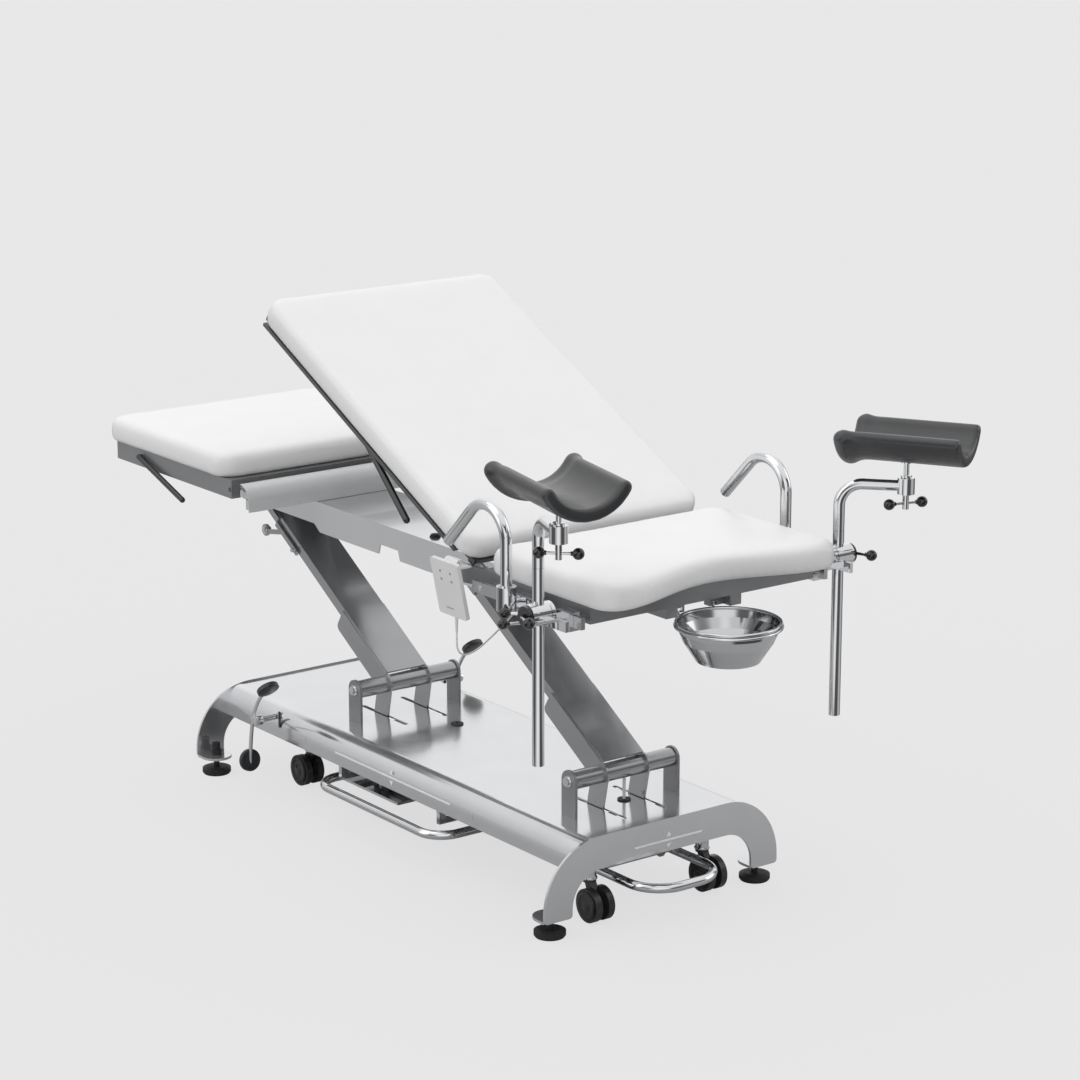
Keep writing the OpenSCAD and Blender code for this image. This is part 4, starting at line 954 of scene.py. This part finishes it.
@dataclass
class Upholstery(Assembly):
    """Three cushions of foam under white vinyl, and the two leg troughs of integral-skin foam.

    Attributes:
        voxel: grid that the cushions are rebuilt on, in metres.
        fine_voxel: grid that the troughs are rebuilt on, in metres.
        pressure: inner pressure of the foam.
        frames: how long the pressure works, in frames.
        swell: furthest that the pressed foam may stand out, in metres.
        back_tilt: lean of the backrest as shown, in degrees.
        hinge: middle of the backrest's hinge, in metres.
        strip_span: where the dark strips of painted shade beside the backrest's board start and end above the
            hinge, in metres.
        strip_rise: height of those strips' middle over the hinge, square to the board, in metres.
        strip_y: how far its middle stands from the table's middle, in metres.
    """

    voxel: float = 0.007
    fine_voxel: float = 0.0035
    pressure: float = 4.0
    frames: int = 20
    swell: float = 0.004
    back_tilt: float = 26.8
    hinge: tuple[float, float, float] = (0.44001, 0.0, 0.758)
    strip_span: tuple[float, float] = (0.070, 0.912)
    strip_rise: float = 0.0058
    strip_y: float = 0.3075

    def soft_copy(self, node: str, name: str, voxel: float) -> bpy.types.Object:
        """Copies a solid's mesh to a closed, evenly gridded one.

        Args:
            node: the solid that it stands for.
            name: name of the new piece.
            voxel: grid size in metres.

        Returns:
            The new mesh object.
        """
        mesh = bpy.data.meshes.new(name)
        work = bmesh.new()
        work.from_mesh(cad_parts[node].data)
        bmesh.ops.remove_doubles(work, verts=work.verts, dist=1e-5)
        work.to_mesh(mesh)
        work.free()
        mesh.materials.clear()
        piece = linked(name, mesh)
        add_modifier(piece, "REMESH", mode="VOXEL", voxel_size=voxel)
        return piece

    def inflate(self, piece: bpy.types.Object, out: Vector) -> None:
        """Presses the foam out against its cover with Cloth, and holds each point near its start.

        Args:
            piece: closed mesh.
            out: direction square to the board under it; the foam never presses into the board.
        """
        start = [v.co.copy() for v in piece.data.vertices]
        take_up(piece)
        cloth = piece.modifiers.new("Cloth", "CLOTH")
        cloth.settings.use_pressure = True
        cloth.settings.uniform_pressure_force = self.pressure
        cloth.settings.effector_weights.gravity = 0.0
        cloth.settings.tension_stiffness = 15
        cloth.settings.compression_stiffness = 15
        cloth.point_cache.frame_start, cloth.point_cache.frame_end = 1, self.frames
        scene = bpy.context.scene
        for number in range(1, self.frames + 1):
            scene.frame_set(number)
        bpy.ops.object.modifier_apply(modifier=cloth.name)
        scene.frame_set(1)
        for vertex, origin in zip(piece.data.vertices, start):
            moved = vertex.co - origin
            moved -= out * min(moved.dot(out), 0.0)
            vertex.co = origin + moved * (self.swell / max(moved.length, self.swell))

    def round_off(self, piece: bpy.types.Object, node: str, rounds: int) -> None:
        """Smooths a padded piece, which then stands for its solid.

        Args:
            piece: closed mesh.
            node: the solid.
            rounds: rounds of smoothing.
        """
        add_modifier(piece, "SMOOTH", factor=0.5, iterations=rounds)
        add_modifier(piece, "SUBSURF", levels=1, render_levels=1)
        smooth(piece, 180)
        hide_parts(node)

    def cushion(self, node: str, body: str) -> None:
        """One flat cushion that stands for its solid.

        Args:
            node: the solid.
            body: body that it rides on.
        """
        piece = self.soft_copy(node, node + "_cover", self.voxel)
        self.inflate(piece, slope(self.back_tilt if body == "backrest" else 0.0)[1])
        self.round_off(piece, node, 4)
        self.fit(piece, Stock.UPHOLSTERY, body, "white_upholstery")

    def trough(self, side: str) -> None:
        """One leg trough that stands for its solid.

        Args:
            side: "near" or "far".
        """
        node = f"{side}_crutch_pad"
        piece = self.soft_copy(node, f"{side}_trough", self.fine_voxel)
        self.round_off(piece, node, 8)
        self.fit(piece, Stock.SKIN, f"{side}_crutch", "soft_grey")

    def shade_strips(self) -> None:
        """Dark strips beside the backrest's board, in the shade under the cushion's sides: painted shade that
        shows as a line.
        """
        along, out = slope(self.back_tilt)
        low, high = self.strip_span
        middle = Vector(self.hinge) + along * (low + high) / 2 + out * self.strip_rise
        turn = (0.0, math.radians(self.back_tilt), 0.0)
        # Dark strips standing for the shade under the cushion's sides: painted shade
        strips = [
            slab("backrest_shade_strip", middle + Vector((0.0, y, 0.0)), (high - low, 0.022, 0.008), 0.0012, turn)
            for y in (-self.strip_y, self.strip_y)
        ]
        self.fit(joined(strips, "backrest_shade_strips"), Stock.ENAMEL_DARK, "backrest", "dark_frame")

    def build(self) -> None:
        """Makes the cushions, the troughs and the dark strips of painted shade beside the backrest's board.
        """
        for name, body in (("seat", "top_frame"), ("backrest", "backrest"), ("head", "head")):
            self.cushion(f"{name}_cushion", body)
        for side in ("near", "far"):
            self.trough(side)
        self.shade_strips()

    def dress(self) -> None:
        """Finishes of the boards under the cushions."""
        self.coat(Stock.ENAMEL_DARK, "backrest_frame")
        self.coat(Stock.ENAMEL_SHADE, "head_frame")
        self.coat(Stock.BLACK, "backrest_lever", "head_lever")


@dataclass
class SeatEnd(Assembly):
    """Seat frame with its rails, the leg holders, the hand grips and the bowl.

    Pairs of values are for the near and the far side.

    Attributes:
        ball_r: radius of the ball grips on the heads and levers, in metres.
        small_ball_r: radius of the ball grips on the hand grips' clamps, in metres.
        bar_half: half the length of a head's cross bar, in metres.
        head_at: middle of each head's cross bar, in metres.
        head_turn: direction of each cross bar, in degrees from Y.
        lever: foot and tip of the clamp lever's rod, along X and out from the middle, in metres.
        lever_z: height of each lever's rod, in metres.
        lever_r: radius of that rod, in metres.
        grip_x: place of each hand grip's clamp along the rail, in metres.
        grip_screws: ball of each of its screws, out from the clamp and in height, in metres.
        screw_x: places of the rail's screws, in metres.
        rail_y: the rail's outer face, in metres from the middle.
        rail_z: height of the rail's middle, in metres.
        screw: steps of a countersunk screw.
    """

    ball_r: float = 0.0123
    small_ball_r: float = 0.0113
    bar_half: float = 0.0395
    head_at: tuple[Point, Point] = ((0.93595, -0.45808, 0.926), (0.90658, 0.50553, 0.880))
    head_turn: tuple[float, float] = (-45.0, -16.0)
    lever: tuple[float, ...] = (0.8025, 0.4495, 0.847, 0.465)
    lever_z: tuple[float, float] = (0.762, 0.757)
    lever_r: float = 0.0038
    grip_x: tuple[float, float] = (0.648, 0.665)
    grip_screws: tuple[tuple[float, float], ...] = ((0.027, 0.734), (0.041, 0.716))
    screw_x: tuple[float, float] = (0.500, 0.800)
    rail_y: float = 0.3349
    rail_z: float = 0.7385
    screw: tuple[Step, ...] = (
        (0.0062, 0.0005), (0.0052, 0.0), (0.0044, 0.0003), (0.0020, 0.0), (0.0018, -0.0005),
    )

    def head_balls(self, side: str, centre: Point, turn: float) -> None:
        """Two black balls on the ends of one head's cross bar.

        Args:
            side: "near" or "far".
            centre: the bar's middle, in metres.
            turn: its direction, in degrees from Y.
        """
        a = math.radians(turn)
        run = Vector((-math.sin(a), math.cos(a), 0.0))
        balls = [
            ball_grip(f"{side}_head_ball", Vector(centre) + run * s * self.bar_half, -run * s, self.ball_r)
            for s in (-1, 1)
        ]
        self.fit(joined(balls, f"{side}_head_balls"), Stock.BLACK, f"{side}_tbar", "black_plastic")

    def clamp_rod(self, side: str, sign: int, z: float) -> None:
        """Steel rod of the clamp's lever, and the ball on it.

        Args:
            side: "near" or "far".
            sign: -1 for the near side, 1 for the far side.
            z: its height, in metres.
        """
        foot_x, foot_y, tip_x, tip_y = self.lever
        foot, tip = Vector((foot_x, sign * foot_y, z)), Vector((tip_x, sign * tip_y, z))
        run = (tip - foot).normalized()
        bar = rod(f"{side}_clamp_rod", foot, tip - run * 0.008, self.lever_r)
        self.fit(bar, Stock.CHROME, f"{side}_clamp_lever", "chrome")
        ball = ball_grip(f"{side}_clamp_ball", tip, -run, self.ball_r)
        self.fit(ball, Stock.BLACK, f"{side}_clamp_lever", "black_plastic")

    def grip_balls(self, side: str, sign: int, x: float) -> None:
        """Two black balls on the screws of the hand grip's clamp.

        Args:
            side: "near" or "far".
            sign: -1 for the near side, 1 for the far side.
            x: the clamp's place along the rail, in metres.
        """
        balls = []
        for out, z in self.grip_screws:
            tip = Vector((x + out, sign * (0.373 + out), z))
            stem = Vector((x + 0.060, sign * 0.367, z)) - tip
            balls.append(ball_grip(f"{side}_grip_ball", tip, stem, self.small_ball_r))
        self.fit(joined(balls, f"{side}_grip_balls"), Stock.BLACK, f"{side}_grip_clamp", "black_plastic")

    def rail_screws(self, side: str, sign: int) -> None:
        """Countersunk screws in the outer face of one rail.

        Args:
            side: "near" or "far".
            sign: -1 for the near side, 1 for the far side.
        """
        seats = [(x, sign * self.rail_y, self.rail_z) for x in self.screw_x]
        screws = [turned(f"{side}_rail_screw", seat, (0, sign, 0), self.screw, 36, 0.0001) for seat in seats]
        self.fit(joined(screws, f"{side}_rail_screws"), Stock.CHROME, "top_frame", "chrome")

    def build(self) -> None:
        """Adds balls, rods and screws on both sides."""
        for i, (side, sign) in enumerate((("near", -1), ("far", 1))):
            self.head_balls(side, self.head_at[i], self.head_turn[i])
            self.clamp_rod(side, sign, self.lever_z[i])
            self.grip_balls(side, sign, self.grip_x[i])
            self.rail_screws(side, sign)

    def dress(self) -> None:
        """Finishes of the seat end's solids."""
        self.coat(Stock.ENAMEL_SHADE, "seat_frame")
        self.coat(Stock.RAIL, "side_rails")
        self.coat(Stock.BOWL, "bowl")
        self.coat(Stock.CHROME, "bowl_carrier")
        for side in ("near", "far"):
            self.coat(
                Stock.CHROME, f"{side}_clamp", f"{side}_pole", f"{side}_swing_arm", f"{side}_crutch_stem",
                f"{side}_grip_clamp", f"{side}_grip", f"{side}_tbar",
            )
            self.coat(Stock.BLACK, f"{side}_clamp_lever")


@dataclass
class Handset(Assembly):
    """Hand control that hangs on the near rail, with its cord.

    Attributes:
        cord_d: diameter of the cord, in metres.
        top: middle of the keypad's upper front edge, in metres.
        lean: how far the keypad leans outwards at its top, in degrees.
        keys: places of the four keys on the keypad, across and up from that edge, in metres.
        key: steps of a key.
        line: place of the raised line in the same way, and its length, in metres.
        route: centreline of the cord, in metres.
    """

    cord_d: float = 0.004
    top: tuple[float, float, float] = (0.40351, -0.363, 0.782)
    lean: float = 11.6
    keys: tuple[tuple[float, float], ...] = (
        (-0.0185, -0.026), (0.0185, -0.026), (-0.0185, -0.045), (0.0185, -0.045),
    )
    key: tuple[Step, ...] = ((0.0030, 0.0008), (0.0025, 0.0003))
    line: tuple[float, float, float] = (-0.006, -0.111, 0.026)
    route: tuple[tuple[float, float, float], ...] = (
        (0.41001, -0.333, 0.620), (0.41001, -0.333, 0.604), (0.40951, -0.332, 0.587),
        (0.40851, -0.326, 0.573), (0.40751, -0.312, 0.565), (0.40651, -0.294, 0.565),
        (0.40351, -0.266, 0.573), (0.39951, -0.235, 0.589), (0.39551, -0.200, 0.608),
        (0.39051, -0.170, 0.627), (0.38651, -0.145, 0.646), (0.38401, -0.125, 0.656),
        (0.38301, -0.116, 0.660), (0.38251, -0.108, 0.662),
    )

    def on_pad(self, across: float, up: float) -> Vector:
        """Point on the keypad's front face."""
        a = math.radians(self.lean)
        return Vector(self.top) + Vector((across, -up * math.sin(a), up * math.cos(a)))

    def keypad(self) -> None:
        """Four round keys and a raised line on the front face."""
        a = math.radians(self.lean)
        out = Vector((0.0, -math.cos(a), -math.sin(a)))
        seats = [self.on_pad(x, z) - out * 0.0002 for x, z in self.keys]
        keys = [turned("handset_key", seat, out, self.key, 32, 0.0002) for seat in seats]
        self.fit(joined(keys, "handset_keys"), Stock.INK, "top_frame", "handset_plastic")
        x, z, long = self.line
        centre = self.on_pad(x, z) + out * 0.0001
        line = slab("handset_lines", centre, (long, 0.0008, 0.0024), 0.0003, (a, 0, 0))
        self.fit(line, Stock.INK, "top_frame", "handset_plastic")

    def cord(self) -> None:
        """Thin lead that hangs in a shallow bow from the keypad to the tray."""
        piece = drawn("handset_lead", self.route, self.cord_d / 2, 3, 8, 4)
        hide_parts("handset_cord")
        self.fit(piece, Stock.HOUSING, "top_frame", "handset_plastic")

    def build(self) -> None:
        """Makes the keypad's fittings and the lead."""
        self.keypad()
        self.cord()

    def dress(self) -> None:
        """Finish of the housing."""
        self.coat(Stock.HOUSING, "handset")


@dataclass
class Studio:
    """Camera, pale floor and soft light.

    Attributes:
        target: point that the camera looks at, in metres.
        distance: how far the camera stands, in metres.
        azimuth: direction of the camera round the table, in degrees.
        elevation: its height above the horizon, in degrees.
        lens: focal length in mm, on a 36 mm sensor.
        backdrop: tone of floor and backdrop as the camera sees them.
        paper_tone: tone of the paper floor that the table reflects, under its painted light and shade.
        flatness: how evenly the paper is lit from within, from 0 to 1.
        apron: radius of the evenly lit floor round the table, in metres.
        horizon: brightness of the surroundings at eye level.
        zenith: brightness straight above.
        key_power: strength of the key light.
        key_spread: angle that it seems to have, in degrees.
    """

    target: tuple[float, float, float] = (0.266, -0.001, 0.744)
    distance: float = 7.092
    azimuth: float = 53.1
    elevation: float = 14.45
    lens: float = 105.8
    backdrop: str = "#E8E7E8"
    paper_tone: str = "#B8B8BA"
    flatness: float = 0.86
    apron: float = 1.7
    horizon: float = 0.60
    zenith: float = 1.0
    key_power: float = 0.30
    key_spread: float = 50.0

    def camera(self) -> None:
        """Places the camera."""
        a, e = math.radians(self.azimuth), math.radians(self.elevation)
        back = Vector((math.sin(a) * math.cos(e), -math.cos(a) * math.cos(e), math.sin(e)))
        data = bpy.data.cameras.new("studio_camera")
        data.lens, data.sensor_width = self.lens, 36.0
        data.clip_start, data.clip_end = 0.1, 200.0
        holder = linked("studio_camera", data)
        holder.location = Vector(self.target) + back * self.distance
        holder.rotation_euler = (-back).to_track_quat("-Z", "Y").to_euler()
        bpy.context.scene.camera = holder

    def towards(self, turn: float, rise: float) -> Vector:
        """Direction at an angle round the table from the camera's, in radians, and a slope."""
        a = math.radians(self.azimuth) + turn
        return Vector((math.sin(a), -math.cos(a), rise))

    def pools(
        self, tree: Tree, way: Socket, total: Socket | float,
        boxes: Sequence[tuple[Vector, float, float, float]],
    ) -> Socket:
        """Adds soft pools of light or shade round some directions.

        Args:
            tree: node tree of the world, where the pools are lamp light, or of the floor, where they are
                painted light and painted shade in its colour.
            way: unit direction that is looked up.
            total: brightness that the pools are added to.
            boxes: direction, cosine where the pool starts, cosine where it is full, and its gain.

        Returns:
            The summed brightness.
        """
        for middle, start, end, gain in boxes:
            near = add_node(
                tree, "ShaderNodeVectorMath",
                {"operation": "DOT_PRODUCT", "=1": middle.normalized()[:]}, {0: way},
            ).outputs["Value"]
            pool = add_node(
                tree, "ShaderNodeMapRange",
                {"interpolation_type": "SMOOTHSTEP", "=From Min": start, "=From Max": end, "=To Max": gain},
                {"Value": near},
            ).outputs["Result"]
            whole = add_node(tree, "ShaderNodeMath", {"operation": "ADD"}, {0: total, 1: pool})
            total = whole.outputs["Value"]
        return total

    def paper(self, tree: Tree) -> Socket:
        """Tone of the floor that the table mirrors, with painted light in front and behind and painted shade
        at the sides.

        Args:
            tree: node tree of the floor.

        Returns:
            The tone.
        """
        place = add_node(tree, "ShaderNodeTexCoord").outputs["Object"]
        flat = add_node(
            tree, "ShaderNodeVectorMath", {"operation": "MULTIPLY", "=1": (1.0, 1.0, 0.0)}, {0: place}
        ).outputs["Vector"]
        reach = add_node(tree, "ShaderNodeVectorMath", {"operation": "LENGTH"}, {0: flat}).outputs["Value"]
        beyond = add_node(tree, "ShaderNodeMath", {"operation": "MAXIMUM", "=1": self.apron}, {0: reach})
        share = add_node(
            tree, "ShaderNodeMath", {"operation": "DIVIDE", "=0": 1.0}, {1: beyond.outputs["Value"]}
        )
        way = add_node(
            tree, "ShaderNodeVectorMath", {"operation": "SCALE"}, {0: flat, "Scale": share.outputs["Value"]}
        ).outputs["Vector"]
        start = add_node(tree, "ShaderNodeValue")
        start.outputs[0].default_value = linear(self.paper_tone)[0]
        # Painted pools of light and shade in the floor's colour, by direction from the table's middle
        return self.pools(
            tree, way, start.outputs[0],
            (
                (self.towards(0.0, 0.0), 0.93, 0.99, 0.45),
                (self.towards(0.72, 0.0), 0.91, 0.97, -0.40),
                (self.towards(-0.95, 0.0), 0.88, 0.96, -0.40),
                (self.towards(2.05, 0.0), 0.90, 0.97, -0.35),
                (self.towards(2.9, 0.0), 0.93, 0.99, 0.30),
                (self.towards(-2.6, 0.0), 0.93, 0.98, -0.30),
            ),
        )

    def floor(self) -> None:
        """Pale matt floor, far wider than the view."""
        clear_selection()
        bpy.ops.mesh.primitive_plane_add(size=160, location=(0, 0, -0.0005))
        plane = bpy.context.object
        settle(plane, "studio_floor")
        material = bpy.data.materials.new("studio_paper_pale")
        material.use_nodes = True
        tree = material.node_tree
        paper = tree.nodes["Principled BSDF"]
        # The floor's colour for all rays but the camera's holds painted light and painted shade
        tree.links.new(self.paper(tree), paper.inputs["Base Color"])
        paper.inputs["Roughness"].default_value = 0.9
        paper.inputs["Specular IOR Level"].default_value = 0.1
        pale = add_node(tree, "ShaderNodeBsdfDiffuse", {"=Color": linear(self.backdrop)})
        glow = add_node(tree, "ShaderNodeEmission", {"=Color": linear(self.backdrop), "=Strength": 1.0})
        faint = add_node(
            tree, "ShaderNodeMixShader", {"=0": self.flatness}, {1: pale.outputs[0], 2: glow.outputs[0]}
        )
        sight = add_node(tree, "ShaderNodeLightPath").outputs["Is Camera Ray"]
        sides = {0: sight, 1: paper.outputs[0], 2: faint.outputs[0]}
        whole = add_node(tree, "ShaderNodeMixShader", {}, sides)
        tree.links.new(whole.outputs[0], tree.nodes["Material Output"].inputs["Surface"])
        wear(plane, material)

    def dome(self) -> None:
        """Light from all round: brighter overhead, with soft boxes and pools of shade between them."""
        world = bpy.data.worlds.new("studio_dome")
        bpy.context.scene.world = world
        world.use_nodes = True
        tree = world.node_tree
        ground = tree.nodes["Background"]
        way = add_node(tree, "ShaderNodeTexCoord").outputs["Generated"]
        level = add_node(tree, "ShaderNodeSeparateXYZ", {}, {0: way}).outputs["Z"]
        total = add_node(
            tree, "ShaderNodeMapRange",
            {"interpolation_type": "SMOOTHSTEP", "=From Min": -0.1, "=From Max": 1.0,
             "=To Min": self.horizon, "=To Max": self.zenith},
            {"Value": level},
        ).outputs["Result"]
        boxes = (
            (self.towards(-1.25, 0.35), 0.90, 0.96, 0.80),
            (self.towards(1.95, 0.25), 0.90, 0.96, 0.80),
            (self.towards(math.pi, 0.26), 0.72, 0.97, 0.30),
            (self.towards(0.1, 0.15), 0.88, 0.96, 0.35),
            (self.towards(1.05, 0.0), 0.82, 0.93, -0.50),
            (self.towards(-0.75, 0.0), 0.88, 0.96, -0.50),
            (self.towards(2.45, 0.05), 0.90, 0.97, -0.45),
        )
        total = self.pools(tree, way, total, boxes)
        sight = add_node(tree, "ShaderNodeLightPath").outputs["Is Camera Ray"]
        seen = add_node(tree, "ShaderNodeMix", {"data_type": "FLOAT", "=3": 1.0}, {0: sight, 2: total})
        tint = add_node(
            tree, "ShaderNodeMix",
            {"data_type": "RGBA", "=6": (1.0, 1.0, 1.0, 1.0), "=7": linear(self.backdrop)}, {0: sight},
        )
        tree.links.new(tint.outputs[2], ground.inputs["Color"])
        tree.links.new(seen.outputs[0], ground.inputs["Strength"])

    def sun(self) -> None:
        """Broad key light from high up on the camera's left."""
        data = bpy.data.lights.new("studio_key", "SUN")
        data.energy, data.angle = self.key_power, math.radians(self.key_spread)
        holder = linked("studio_key", data)
        holder.rotation_euler = Vector((0.25, 0.35, -1.0)).to_track_quat("-Z", "Y").to_euler()

    def build(self) -> None:
        """Sets up the whole studio."""
        self.camera()
        self.floor()
        self.dome()
        self.sun()
        bpy.context.scene.view_settings.view_transform = "Standard"


def main() -> None:
    logging.basicConfig(level=logging.INFO, format="%(name)s: %(message)s")
    Studio().build()
    log.info("studio is up")
    paint = Paintbox()
    for kind in (Base, Pedal, Lift, SeatEnd, Handset, Upholstery):
        assembly = kind(paint)
        assembly.build()
        assembly.dress()
        for piece in assembly.pieces:
            log.info("%s: %s, %s", type(assembly).__name__, piece.name, piece.type.lower())


if __name__ == "__main__":
    main()
